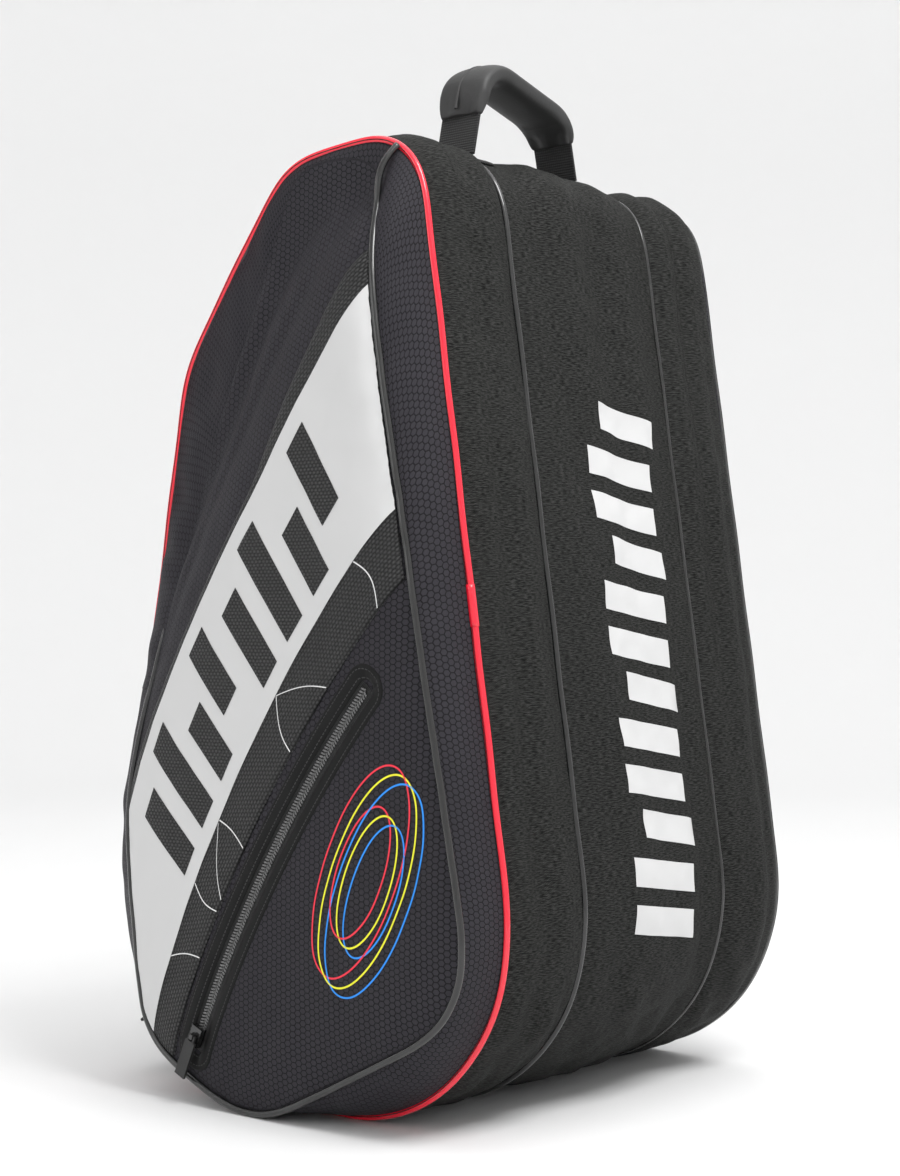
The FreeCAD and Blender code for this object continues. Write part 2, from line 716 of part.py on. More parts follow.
film = arc_strip("ZipFilm", "-Dims.slot_width / 2 - Dims.zip_frame_margin",
                 "Dims.slot_width / 2 + Dims.zip_frame_margin",
                 face_y - size("zip_film"), "Dims.zip_film", size("zip_frame_margin"))
finish(cut("ZipFrame", film, slot_cut), "pocket_zip_frame")
tape = arc_strip("PocketTape", "-Dims.slot_width / 2 - Dims.tape_lap",
                 "Dims.slot_width / 2 + Dims.tape_lap", face_y + size("tape_depth"),
                 "Dims.tape_thickness", size("tape_lap"))
coil = arc_strip("PocketCoil", "-Dims.coil_half_width", "Dims.coil_half_width",
                 face_y + size("tape_depth") - size("coil_height"), "Dims.coil_height", 0)
finish(fuse("PocketZip", [tape, coil]), "pocket_zip")

band_reach = slab("BandReach", band_limit, f"{face_y - CUT_REACH}", f"{2 * CUT_REACH}")
band = arc_strip("MeshBand", "Dims.band_inner_offset", "Dims.band_outer_offset",
                 face_y - size("band_thickness"), "Dims.band_thickness", RUN_PAST_ENDS)
finish(common("MeshBandTrimmed", band, band_reach), "mesh_band")
printed = arc_strip("PrintFilm", "Dims.print_inner_offset", "Dims.print_outer_offset",
                    face_y - size("band_thickness") - size("zip_film"), "Dims.zip_film", RUN_PAST_ENDS)
finish(common("PrintTrimmed", printed, band_reach), "band_film")

arc_stop = size("slider_length") / 2 + size("zip_stop")
pocket_place = arc_frame(arc_stop)
make_slider("pocket_slider", pocket_place)
motion("pocket_slider_run", "hinge", zip_centre + DEPTH * face_y, DEPTH, 0,
       ARC_DEGREES - 2 * arc_degrees(arc_stop))
make_pull("pocket_pull", pocket_place, "pocket_pull_turn")


# ---------------------------------------------------------------- flat pieces made from a sketch

def flat_sketch(body, name, corners):
    """A rounded outline on the XY plane of a body."""
    sketch = body.newObject("Sketcher::SketchObject", name)
    plane = [item for item in body.Origin.OriginFeatures if item.Role == "XY_Plane"][0]
    sketch.AttachmentSupport = [(plane, "")]
    sketch.MapMode = "FlatFace"
    draw_rounded(sketch, corners)
    return sketch


def plate(label, corners, place, thickness, windows=()):
    """A body padded from one rounded outline, with rounded windows cut right through it."""
    body = doc.addObject("PartDesign::Body", f"{label}Body")
    pad = body.newObject("PartDesign::Pad", f"{label}Pad")
    pad.Profile = flat_sketch(body, f"{label}Sketch", corners)
    pad.setExpression("Length", thickness)
    doc.recompute()
    for index, window in enumerate(windows):
        before = body.Shape.Volume
        pocket = body.newObject("PartDesign::Pocket", f"{label}Window{index}")
        pocket.Profile = flat_sketch(body, f"{label}WindowSketch{index}", window)
        pocket.Type = "ThroughAll"
        pocket.Reversed = True
        doc.recompute()
        if body.Shape.Volume > before - 1.0:
            raise ValueError(f"window {index} of {label} cuts nothing")
    body.Placement = place
    return finish(body, label)


def rectangle(low_x, high_x, low_y, high_y, radius):
    """Corners of a rounded rectangle, each side a sum of driving dimensions."""
    return [(low_x, low_y, radius), (high_x, low_y, radius),
            (high_x, high_y, radius), (low_x, high_y, radius)]


# ---------------------------------------------------------------- back pad and shoulder straps

side_frame = frame_of(SIDE_FOOT, SIDE_UP, DEPTH)
main_middle = (main_seam + rear_seam) / 2
strap_top = SIDE_LENGTH - size("strap_top_margin")
strap_run = strap_top - size("strap_low_margin")
strap_level = total("back_pad_thickness", "strap_lift")
pad_margin = RIM + size("back_pad_side_margin")
back_pad = block("BackPad", at(side_frame, 0, main_seam + pad_margin, 0), f"{strap_top}",
                 "Dims.main_depth - Dims.piping_diameter - 2 * Dims.sewing_gap"
                 " - 2 * Dims.back_pad_side_margin", "Dims.back_pad_thickness")
finish(back_pad, "back_pad")

patch_half = total("strap_spacing", "strap_width") / 2
patch = block("StrapPatch", at(side_frame, strap_top + size("strap_end_gap"), main_middle - patch_half),
              "Dims.patch_length", "Dims.strap_spacing + Dims.strap_width", "Dims.patch_thickness")
finish(patch, "strap_anchor_patch")

LOCK_OUTLINE = rectangle(["-lock_length"], [], ["-lock_half"], ["lock_half"], "lock_round")
LOCK_WINDOWS = [
    rectangle(["-lock_bar", "-lock_slot"], ["-lock_bar"],
              ["-lock_half", "lock_bar"], ["lock_half", "-lock_bar"], "window_round"),
    rectangle(["-lock_bar", "-lock_slot", "-lock_bar", "-lock_slot"],
              ["-lock_bar", "-lock_slot", "-lock_bar"],
              ["-lock_half", "lock_bar"], ["lock_half", "-lock_bar"], "window_round"),
]
corner_centre = SIDE_FOOT - SIDE_UP.cross(DEPTH) * size("base_left_round")
tab_angle = math.radians(size("tab_angle"))
tab_out = Vector(math.cos(tab_angle), 0, math.sin(tab_angle))
tab_root = corner_centre + tab_out * (size("base_left_round") + size("sewing_gap"))
tab_end = tab_root + tab_out * size("tab_length")

for name, side, tab_y in (("front", -1, front_seam + size("tab_seam_distance")),
                          ("rear", 1, back_seam - size("tab_seam_distance"))):
    middle = main_middle + side * size("strap_spacing") / 2
    pad = block(f"{name}StrapPad", at(side_frame, size("strap_low_margin"),
                                      middle - size("strap_width") / 2, strap_level),
                f"{strap_run}", "Dims.strap_width", "Dims.strap_thickness")
    finish(pad, f"strap_{name}_pad")
    hinge = at(side_frame, strap_top, middle, strap_level)
    motion(f"strap_{name}_swing", "hinge", hinge.Base, DEPTH, 0, STRAP_SWING)
    level = strap_level + size("strap_thickness") / 2 - size("lock_thickness") / 2
    lock_top = size("strap_low_margin") - size("hinge_clearance")
    plate(f"strap_{name}_lock", LOCK_OUTLINE, at(side_frame, lock_top, middle, level),
          "Dims.lock_thickness", LOCK_WINDOWS)
    pivot = at(side_frame, size("strap_low_margin"), middle, level + size("lock_thickness"))
    motion(f"strap_{name}_lock_tilt", "hinge", pivot.Base, DEPTH, 0, LOCK_TILT)
    start = at(side_frame, lock_top - total("lock_length", "sewing_gap"), middle,
               strap_level + size("strap_thickness") / 2).Base
    end = tab_end + DEPTH * tab_y + Vector(0, 0, size("webbing_end_gap"))
    run = (end - start).normalize()
    across = SIDE_UP.cross(DEPTH).cross(run).normalize()
    skew = size("webbing_width") / 2 * abs(run.dot(DEPTH) / run.dot(SIDE_UP)) + size("sewing_gap")
    web = block(f"{name}Webbing", at(frame_of(start, run, across), skew,
                                     -size("webbing_width") / 2, -size("webbing_thickness") / 2),
                f"{(end - start).Length - skew}", "Dims.webbing_width", "Dims.webbing_thickness")
    finish(web, f"strap_{name}_webbing")
    tab_frame = frame_of(tab_root + DEPTH * tab_y, tab_out, DEPTH)
    tab = block(f"{name}Tab", at(tab_frame, 0, -size("webbing_width") / 2,
                                 -size("webbing_thickness") / 2),
                "Dims.tab_length", "Dims.webbing_width", "Dims.webbing_thickness")
    finish(tab, f"strap_{name}_tab")


# ---------------------------------------------------------------- carrying handle

HANDLE_CORNERS = [
    (["-front_reach", "front_depth", "handle_foot_margin"], ["bag_height", "-handle_foot_depth"],
     "handle_foot_round"),
    (["-front_reach", "front_depth", "main_depth", "-handle_rear_margin"],
     ["bag_height", "-handle_foot_depth"], "handle_foot_round"),
    (["-front_reach", "front_depth", "main_depth", "-handle_rear_margin", "-handle_rear_lean"],
     ["bag_height", "handle_rear_rise"], "handle_rear_round"),
    (["-front_reach", "front_depth", "handle_foot_margin", "handle_front_lean"],
     ["bag_height", "handle_front_rise"], "handle_front_round"),
]


def handle_slab(name, source, width):
    """A loop outline in the YZ plane given a width along X, centred on the handle."""
    item = doc.addObject("Part::Extrusion", name)
    item.Base = source
    item.DirMode = "Custom"
    item.Dir = Vector(1, 0, 0)
    item.Solid = True
    item.setExpression("LengthFwd", width)
    item.setExpression("Placement.Base.x", f"Dims.handle_x - ({width}) / 2")
    return item


top_share = (size("handle_x") - TOP_LEFT.x) / (TOP_RIGHT.x - TOP_LEFT.x)
handle_seat = TOP_LEFT + (TOP_RIGHT - TOP_LEFT) * top_share
handle_axis = handle_seat + Vector(0, 0, total("anchor_thickness", "handle_axis_gap"))
handle_loop = outline("HandleLoop", HANDLE_CORNERS, ALONG_DEPTH)
WEB_WIDTH = "Dims.handle_webbing_width"
web_inner = inset("HandleInner", handle_loop, "-Dims.handle_webbing_thickness")
loop_band = cut("HandleBand", handle_slab("HandleWebOuter", handle_loop, WEB_WIDTH),
                handle_slab("HandleWebInner", web_inner, WEB_WIDTH))
for name, along in (("Right", Vector(1, 0, 1)), ("Left", Vector(1, 0, -1))):
    below = frame_of(handle_axis, along.normalize(), DEPTH)
    trim = big_block(f"HandleTip{name}", at(below, -FAR, -FAR, -2 * FAR))
    loop_band = cut(f"HandleTipped{name}", loop_band, trim)
finish(loop_band, "handle_webbing")

SLEEVE_WIDTH = "Dims.handle_webbing_width + 2 * Dims.sleeve_side"
sleeve_outer = inset("SleeveOuter", handle_loop, "Dims.sleeve_padding")
sleeve_inner = inset("SleeveInner", handle_loop, "-Dims.handle_webbing_thickness - Dims.sleeve_padding")
sleeve = cut("SleeveBand", handle_slab("SleeveOuterSlab", sleeve_outer, SLEEVE_WIDTH),
             handle_slab("SleeveInnerSlab", sleeve_inner, SLEEVE_WIDTH))
sleeve_floor = Placement(Vector(-FAR, -FAR, total("bag_height", "sleeve_start") - 2 * FAR), Rotation())
sleeve = cut("SleeveRaised", sleeve, big_block("SleeveFloor", sleeve_floor))
web_core = cut("HandleCore", handle_slab("HandleCoreOuter", handle_loop, WEB_WIDTH),
               handle_slab("HandleCoreInner", web_inner, WEB_WIDTH))
finish(cut("SleeveHollow", sleeve, web_core), "handle_sleeve")
motion("handle_swing", "hinge", handle_axis, DEPTH, -HANDLE_SWING, HANDLE_SWING)

ANCHOR = rectangle(["-anchor_half_width"], ["anchor_half_width"],
                   ["-anchor_half_length"], ["anchor_half_length"], "anchor_round")
anchor_reach = size("anchor_half_length") - size("anchor_overhang")
for name, foot in (("front", total(*HANDLE_CORNERS[0][0]) + anchor_reach),
                   ("rear", total(*HANDLE_CORNERS[1][0]) - anchor_reach)):
    plate(f"handle_{name}_anchor", ANCHOR, frame_of(handle_seat + DEPTH * foot, TOP_RUN, DEPTH),
          "Dims.anchor_thickness")


# ---------------------------------------------------------------- board inside the base

board_place = Placement(Vector(-size("base_board_width") / 2,
                               main_seam + total("board_thickness") / 2 + size("board_gap"),
                               total("piping_diameter", "sewing_gap", "lining_thickness")), Rotation())
base_board = block("BaseBoard", board_place, "Dims.base_board_width",
                   "Dims.main_depth - Dims.board_thickness - 2 * Dims.board_gap",
                   "Dims.base_board_thickness")
finish(base_board, "base_board")


# ---------------------------------------------------------------- checks and files

doc.recompute()
for item in doc.Objects:
    if "Invalid" in item.State or "Error" in item.State:
        raise ValueError(f"{item.Name} failed: {item.State}")
for item in parts:
    if item.Shape.isNull() or not item.Shape.isValid() or not item.Shape.Solids:
        raise ValueError(f"{item.Label} is not a valid solid")

os.makedirs("parts", exist_ok=True)
for item in parts:
    item.Shape.exportStep(f"parts/{item.Label}.step")

print(f"{len(parts)} sub-parts written")
for name, kind, point, axis, low, high in motions:
    place = ", ".join(f"{value:.2f}" for value in point)
    along = ", ".join(f"{value:.4f}" for value in axis)
    print(f"{name}: {kind} at ({place}) along ({along}), {low:g} to {high:.2f}")
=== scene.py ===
import json
import math

import bmesh
import bpy
import numpy as np
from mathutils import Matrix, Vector


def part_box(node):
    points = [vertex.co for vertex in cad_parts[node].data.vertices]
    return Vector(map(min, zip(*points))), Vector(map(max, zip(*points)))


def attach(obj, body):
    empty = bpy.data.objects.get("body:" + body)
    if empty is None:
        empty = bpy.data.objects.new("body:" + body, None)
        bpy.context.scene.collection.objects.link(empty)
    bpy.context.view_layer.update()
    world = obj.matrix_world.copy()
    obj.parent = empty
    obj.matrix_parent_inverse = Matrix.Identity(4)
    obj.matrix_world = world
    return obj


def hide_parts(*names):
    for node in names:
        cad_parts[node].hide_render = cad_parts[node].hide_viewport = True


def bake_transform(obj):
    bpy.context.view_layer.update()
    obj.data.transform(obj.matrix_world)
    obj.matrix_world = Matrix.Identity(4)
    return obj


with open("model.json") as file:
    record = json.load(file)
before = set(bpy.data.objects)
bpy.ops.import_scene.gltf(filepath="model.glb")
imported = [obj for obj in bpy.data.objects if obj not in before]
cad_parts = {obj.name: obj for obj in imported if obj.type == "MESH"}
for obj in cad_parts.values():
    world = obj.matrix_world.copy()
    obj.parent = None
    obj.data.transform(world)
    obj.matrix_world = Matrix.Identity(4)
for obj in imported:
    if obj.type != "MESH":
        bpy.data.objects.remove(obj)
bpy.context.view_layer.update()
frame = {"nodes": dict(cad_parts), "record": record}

# An upright racket bag. X runs across the front face, -Y is the front, Z is up, in metres.
MM = 0.001
NODES = frame["nodes"]
JOINTS = {joint["name"]: joint for joint in frame["record"]["behaviour"]["joints"]}


# ---------------------------------------------------------------- places read from the frame

def middle_of(node):
    """The centre of a node's box."""
    low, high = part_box(node)
    return (Vector(low) + Vector(high)) / 2


def corners_of(node):
    """The points of a node's mesh, one row each."""
    return np.array([tuple(vertex.co) for vertex in NODES[node].data.vertices])


SEAM_PIPINGS = ["front_piping", "front_seam_piping", "rear_seam_piping", "rear_piping"]
SEAMS = [middle_of(name).y for name in SEAM_PIPINGS]
FACE_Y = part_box("pocket_shell")[0][1]
ZIP_CENTRE = Vector(JOINTS["pocket_slider_run"]["pos_m"])
ZIP_ANGLE = math.radians(JOINTS["pocket_slider_run"]["range_deg"][1])
SLIDER_MIDDLE = middle_of("pocket_slider")
ZIP_RADIUS = math.hypot(SLIDER_MIDDLE.x - ZIP_CENTRE.x, SLIDER_MIDDLE.z - ZIP_CENTRE.z)
SLIDER_HALF = 8 * MM
ZIP_START = math.atan2(SLIDER_MIDDLE.z - ZIP_CENTRE.z, SLIDER_MIDDLE.x - ZIP_CENTRE.x)
ZIP_PAD = SLIDER_HALF / ZIP_RADIUS
SIDE_UP = Vector(JOINTS["front_slider_run"]["axis"])


# ---------------------------------------------------------------- outlines

def stack(*values):
    """Joins coordinates into points, or into UV pairs."""
    return np.stack(np.broadcast_arrays(*values), axis=-1)


def directions(path, closed):
    """The unit direction of a path at each of its points."""
    tangent = np.roll(path, -1, 0) - np.roll(path, 1, 0) if closed else np.gradient(path, axis=0)
    return tangent / np.maximum(np.linalg.norm(tangent, axis=1)[:, None], 1e-9)


def distances_along(path):
    """How far along a path of points each point lies."""
    return np.concatenate([[0], np.cumsum(np.linalg.norm(np.diff(path, axis=0), axis=1))])


def smooth_inside(values, passes):
    """Evens out a row of values or points in place; the two ends stay."""
    for _ in range(passes):
        values[1:-1] = (values[:-2] + 2 * values[1:-1] + values[2:]) / 4


def hull(points):
    """Convex hull of flat points, anticlockwise."""
    ordered = sorted(set((round(x, 6), round(z, 6)) for x, z in points.tolist()))

    def half(sequence):
        chain = []
        for point in sequence:
            while len(chain) > 1 and (
                    (chain[-1][0] - chain[-2][0]) * (point[1] - chain[-2][1])
                    - (chain[-1][1] - chain[-2][1]) * (point[0] - chain[-2][0])) <= 0:
                chain.pop()
            chain.append(point)
        return chain[:-1]

    return np.array(half(ordered) + half(ordered[::-1]))


class Outline:
    """A closed convex outline in the XZ plane, evenly sampled from its lowest middle point."""

    def __init__(self, node, count, smooth):
        loop = hull(corners_of(node)[:, [0, 2]])
        closed = np.vstack([loop, loop[:1]])
        along = distances_along(closed)
        self.length = along[-1]
        self.count = count
        samples = np.arange(count) * self.length / count
        points = np.stack([np.interp(samples, along, closed[:, axis]) for axis in (0, 1)], axis=1)
        for _ in range(smooth):
            points = (np.roll(points, 1, 0) + 2 * points + np.roll(points, -1, 0)) / 4
        target = np.array([0.0, points[:, 1].min()])
        start = np.argmin(np.linalg.norm(points - target, axis=1))
        self.points = np.roll(points, -start, axis=0)
        tangent = directions(self.points, closed=True)
        self.normals = stack(tangent[:, 1], -tangent[:, 0])
        self.step = self.length / count

    def radius(self, centre, angles):
        """Distance from a centre inside the outline to the outline, at each angle."""
        offset = self.points - centre
        own = np.arctan2(offset[:, 1], offset[:, 0])
        order = np.argsort(own)
        reach = np.linalg.norm(offset, axis=1)[order]
        own = own[order]
        own = np.concatenate([own - 2 * math.pi, own, own + 2 * math.pi])
        reach = np.concatenate([reach, reach, reach])
        return np.interp(angles, own, reach)


BAG = Outline("main_gusset", 560, smooth=50)
POCKET = Outline("pocket_shell", 560, smooth=60)


# ---------------------------------------------------------------- meshes

def make_object(name, vertices, faces, uvs=None):
    """A smooth mesh object, with one UV pair per vertex if uvs is given."""
    mesh = bpy.data.meshes.new(name)
    mesh.from_pydata([tuple(v) for v in vertices], [], faces)
    if uvs is not None:
        layer = mesh.uv_layers.new(name="cloth")
        loops = np.empty(len(mesh.loops), dtype=np.int32)
        mesh.loops.foreach_get("vertex_index", loops)
        layer.data.foreach_set("uv", np.asarray(uvs)[loops].astype(np.float32).ravel())
    mesh.polygons.foreach_set("use_smooth", [True] * len(mesh.polygons))
    mesh.update()
    item = bpy.data.objects.new(name, mesh)
    bpy.context.scene.collection.objects.link(item)
    return item


def grid_faces(rows, columns):
    """Quads of a grid of points."""
    faces = []
    for row in range(rows - 1):
        for column in range(columns - 1):
            first = row * columns + column
            faces.append((first, first + columns, first + columns + 1, first + 1))
    return faces


def tube_faces(rows, columns, closed=False):
    """Quads of rings joined into a tube, and its two ends unless it closes on itself."""
    faces = []
    for row in range(rows if closed else rows - 1):
        after = (row + 1) % rows
        for column in range(columns):
            beside = (column + 1) % columns
            faces.append((row * columns + column, row * columns + beside,
                          after * columns + beside, after * columns + column))
    if not closed:
        faces.append(tuple(range(columns))[::-1])
        faces.append(tuple((rows - 1) * columns + i for i in range(columns)))
    return faces


def grid_object(name, points, uvs):
    """A cloth surface from a grid of points."""
    return make_object(name, points.reshape(-1, 3), grid_faces(*points.shape[:2]), uvs.reshape(-1, 2))


def apply_modifiers(item):
    """Turn an object's modifiers into mesh."""
    graph = bpy.context.evaluated_depsgraph_get()
    mesh = bpy.data.meshes.new_from_object(item.evaluated_get(graph))
    item.modifiers.clear()
    old = item.data
    item.data = mesh
    if isinstance(old, bpy.types.Mesh):
        bpy.data.meshes.remove(old)


def tube(name, path, radius, closed=True, sides=14):
    """A round cord along a path of points."""
    count = len(path)
    tangent = directions(path, closed)
    side = np.cross(tangent, np.array([0.0, 1.0, 0.0]))
    side /= np.maximum(np.linalg.norm(side, axis=1)[:, None], 1e-9)
    rise = np.cross(side, tangent)
    turns = np.linspace(0, 2 * math.pi, sides, endpoint=False)
    ring = side[:, None] * np.cos(turns)[None, :, None] + rise[:, None] * np.sin(turns)[None, :, None]
    points = path[:, None] + ring * radius
    uvs = stack(np.repeat(distances_along(path), sides), np.tile(turns * radius, count))
    return make_object(name, points.reshape(-1, 3), tube_faces(count, sides, closed), uvs)


# ---------------------------------------------------------------- materials

class Shader:
    """A material built from maths nodes."""

    def __init__(self, name):
        self.material = bpy.data.materials.new(name)
        self.material.use_nodes = True
        self.tree = self.material.node_tree
        self.surface = self.tree.nodes["Principled BSDF"]

    def put(self, socket, value):
        if hasattr(value, "is_output"):
            self.tree.links.new(value, socket)
        else:
            socket.default_value = value

    def node(self, kind, *inputs, **settings):
        node = self.tree.nodes.new(kind)
        for key, value in settings.items():
            setattr(node, key, value)
        for index, value in enumerate(inputs):
            if value is not None:
                self.put(node.inputs[index], value)
        return node

    def math(self, operation, a, b=0.0, c=0.0):
        return self.node("ShaderNodeMath", a, b, c, operation=operation).outputs[0]

    def vector(self, operation, *inputs, output=0):
        return self.node("ShaderNodeVectorMath", *inputs, operation=operation).outputs[output]

    def uv(self, across, along):
        """Cloth coordinates in units of the given weave sizes."""
        layer = self.node("ShaderNodeUVMap", uv_map="cloth").outputs[0]
        return self.vector("MULTIPLY", layer, (1 / across, 1 / along, 1.0))

    def noise(self, vector, scale, detail=2.0):
        node = self.node("ShaderNodeTexNoise")
        self.put(node.inputs["Vector"], vector)
        node.inputs["Scale"].default_value = scale
        node.inputs["Detail"].default_value = detail
        return node.outputs[0]

    def place(self):
        return self.node("ShaderNodeTexCoord").outputs["Object"]

    def ramp(self, value, low, high, start=0.0, end=1.0):
        node = self.node("ShaderNodeMapRange", value, low, high, start, end)
        return node.outputs[0]

    def mix(self, factor, first, second):
        node = self.node("ShaderNodeMix", data_type="RGBA")
        self.put(node.inputs[0], factor)
        self.put(node.inputs[6], first)
        self.put(node.inputs[7], second)
        return node.outputs[2]

    def bump(self, height, distance, strength=1.0):
        node = self.node("ShaderNodeBump")
        node.inputs["Strength"].default_value = strength
        node.inputs["Distance"].default_value = distance
        self.put(node.inputs["Height"], height)
        self.put(self.surface.inputs["Normal"], node.outputs[0])

    def finish(self, colour, roughness, sheen=0.0, coat=0.0, metallic=0.0, specular=0.5):
        surface = self.surface.inputs
        self.put(surface["Base Color"], colour)
        self.put(surface["Roughness"], roughness)
        surface["Sheen Weight"].default_value = sheen
        surface["Coat Weight"].default_value = coat
        surface["Metallic"].default_value = metallic
        surface["Specular IOR Level"].default_value = specular
        return self.material


def grey(value, tint=0.0):
    """A grey, bluer for a tint above 0 and warmer below it."""
    return (value, value * (1 - tint / 2), value * (1 + tint), 1.0)


def wave(shader, value, sharp=1.0):
    """A repeating ridge, 1 at whole numbers and 0 halfway between."""
    folded = shader.math("PINGPONG", value, 0.5)
    return shader.math("POWER", shader.ramp(folded, 0.0, 0.5, 1.0, 0.0), sharp)


def hex_fabric():
    """Dark ripstop with a fine pattern of hexagons."""
    shader = Shader("hex_ripstop")
    axes = shader.node("ShaderNodeSeparateXYZ", shader.uv(4.4 * MM, 3.6 * MM)).outputs
    cell = shader.node("ShaderNodeCombineXYZ", axes[1], axes[0]).outputs[0]
    half = (0.5, 0.866, 1.0)
    first = shader.vector("WRAP", cell, half, (-0.5, -0.866, -1.0))
    moved = shader.vector("ADD", cell, half)
    second = shader.vector("WRAP", moved, half, (-0.5, -0.866, -1.0))
    distances = []
    for one in (first, second):
        flat = shader.vector("MULTIPLY", one, (1.0, 1.0, 0.0))
        spread = shader.vector("ABSOLUTE", flat)
        slope = shader.vector("DOT_PRODUCT", spread, (0.5, 0.866, 0.0), output=1)
        across = shader.node("ShaderNodeSeparateXYZ", spread).outputs[0]
        distances.append(shader.math("MAXIMUM", slope, across))
    inside = shader.math("MINIMUM", distances[0], distances[1])
    line = shader.ramp(inside, 0.385, 0.45)
    threads = wave(shader, shader.math("MULTIPLY", shader.node(
        "ShaderNodeSeparateXYZ", cell).outputs[1], 9.0))
    patch = shader.noise(shader.place(), 9.0)
    body = shader.mix(patch, grey(0.022, 0.12), grey(0.034, 0.12))
    weave = shader.mix(shader.math("MULTIPLY", threads, 0.35), body, grey(0.050, 0.10))
    colour = shader.mix(shader.math("MULTIPLY", line, 0.72), weave, grey(0.0015))
    shader.bump(shader.math("ADD", shader.math("MULTIPLY", line, -1.0),
                            shader.math("MULTIPLY", threads, 0.3)), 0.25 * MM, 0.7)
    return shader.finish(colour, 0.5, specular=0.09)


def twill_fabric():
    """Charcoal twill with light slubs."""
    shader = Shader("gusset_twill")
    threads = shader.uv(0.9 * MM, 0.9 * MM)
    axes = shader.node("ShaderNodeSeparateXYZ", threads).outputs
    diagonal = wave(shader, shader.math("ADD", axes[0], shader.math("MULTIPLY", axes[1], 0.6)))
    slub = shader.noise(shader.uv(6 * MM, 1.1 * MM), 1.6, 3.0)
    patch = shader.noise(shader.place(), 7.0, 3.0)
    body = shader.mix(patch, grey(0.004, -0.04), grey(0.010, -0.04))
    light = shader.math("MULTIPLY", diagonal, shader.ramp(slub, 0.38, 0.66))
    colour = shader.mix(shader.math("MULTIPLY", light, 0.75), body, grey(0.10, -0.03))
    shader.bump(shader.math("ADD", diagonal, shader.math("MULTIPLY", slub, 2.0)), 0.22 * MM, 0.8)
    return shader.finish(colour, 0.62, specular=0.06)


def carbon_mesh():
    """Coarse mesh of small raised knots in shifted rows; the knots' tops are painted lighter as a painted
    highlight.
    """
    shader = Shader("carbon_mesh")
    cell = shader.uv(3.0 * MM, 2.0 * MM)
    axes = shader.node("ShaderNodeSeparateXYZ", cell).outputs
    row = shader.math("FLOOR", axes[1])
    shifted = shader.math("ADD", axes[0], shader.math("MULTIPLY", row, 0.5))
    across = wave(shader, shifted, 0.8)
    along = wave(shader, shader.math("ADD", axes[1], 0.5), 0.8)
    knot_and_highlight = shader.math("MULTIPLY", across, along)
    # painted highlight: the knot mask lightens the knots' tops over near-black gaps, standing in for light on
    # the raised knots
    colour = shader.mix(knot_and_highlight, grey(0.0015), grey(0.075))
    shader.bump(knot_and_highlight, 0.9 * MM, 1.0)
    return shader.finish(colour, 0.4, specular=0.25)


def plain(name, value, roughness, tint=0.0, coat=0.0, metallic=0.0, specular=0.5, grain=0.0):
    shader = Shader(name)
    if grain:
        patch = shader.noise(shader.place(), 60.0, 3.0)
        colour = shader.mix(patch, grey(value * 0.75, tint), grey(value * 1.25, tint))
        shader.bump(shader.noise(shader.place(), 700.0), grain)
    else:
        colour = grey(value, tint)
    return shader.finish(colour, roughness, coat=coat, metallic=metallic, specular=specular)


def ribbed(name, value, pitch):
    """Woven webbing with ribs across its length."""
    shader = Shader(name)
    axes = shader.node("ShaderNodeSeparateXYZ", shader.uv(pitch, pitch)).outputs
    rib = wave(shader, axes[0])
    thread = wave(shader, axes[1])
    pattern = shader.math("MULTIPLY", rib, shader.math("MULTIPLY_ADD", thread, 0.5, 0.5))
    shader.bump(pattern, 0.4 * MM)
    colour = shader.mix(pattern, grey(value * 0.4), grey(value * 1.8))
    return shader.finish(colour, 0.7, sheen=0.1, specular=0.25)


def red_vinyl():
    shader = Shader("red_vinyl")
    return shader.finish((0.82, 0.012, 0.035, 1.0), 0.24, coat=0.4)


def paint(name, colour):
    """A plain printed colour."""
    return Shader(name).finish((*colour, 1.0), 0.5)


MATERIALS = {
    "hex": hex_fabric(),
    "twill": twill_fabric(),
    "mesh": carbon_mesh(),
    "film": plain("silver_film", 0.56, 0.34, coat=0.1),
    "red": red_vinyl(),
    "black_cord": plain("black_vinyl", 0.012, 0.26, coat=0.4),
    "coil": plain("nylon_coil", 0.07, 0.2, specular=0.9),
    "tape": ribbed("zip_tape", 0.012, 0.8 * MM),
    "zip_film": plain("welded_film", 0.006, 0.45, specular=0.15, grain=0.05 * MM),
    "enamel": plain("black_enamel", 0.01, 0.18, coat=0.5),
    "moulded": plain("moulded_rubber", 0.012, 0.5, grain=0.04 * MM),
    "webbing": ribbed("webbing", 0.02, 1.6 * MM),
    "sleeve": plain("sleeve_cloth", 0.022, 0.55, grain=0.12 * MM),
    "air_mesh": ribbed("air_mesh", 0.022, 2.4 * MM),
    "lining": plain("lining_cloth", 0.05, 0.8, 0.1, grain=0.1 * MM),
    "buckle": plain("buckle_plastic", 0.012, 0.4),
    "board": plain("board_plastic", 0.04, 0.5),
    "stitch": plain("thread", 0.05, 0.6, specular=0.2),
    "grey_line": plain("printed_line", 0.7, 0.5),
    "line_red": paint("print_red", (0.75, 0.02, 0.05)),
    "line_yellow": paint("print_yellow", (0.80, 0.78, 0.02)),
    "line_blue": paint("print_blue", (0.01, 0.25, 0.80)),
}


def dress(item, slot, *nodes, body="bag"):
    """Give a piece its material, the nodes it replaces and the body it rides on."""
    item.data.materials.clear()
    item.data.materials.append(MATERIALS[slot])
    if nodes:
        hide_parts(*nodes)
    if body:
        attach(item, body)
    return item


# ---------------------------------------------------------------- surfaces of the bag

# the pocket's face is flat up to a slanting ridge, then falls back to the upper left and at the crown
RIDGE_LOW = np.array([-117.0, 180.0]) * MM
RIDGE_HIGH = np.array([75.0, 527.0]) * MM
RIDGE_FALL = 0.40
CROWN_LEVEL = 527 * MM
CROWN_FALL = 0.92
GROOVE_HALF = 5.5 * MM
# millimetres past the ridge, width and depth of each fold; a negative depth is a rise
FACE_FOLDS = [(28.0, 7.0, 2.4), (54.0, 9.0, 5.0), (72.0, 7.0, -3.0)]
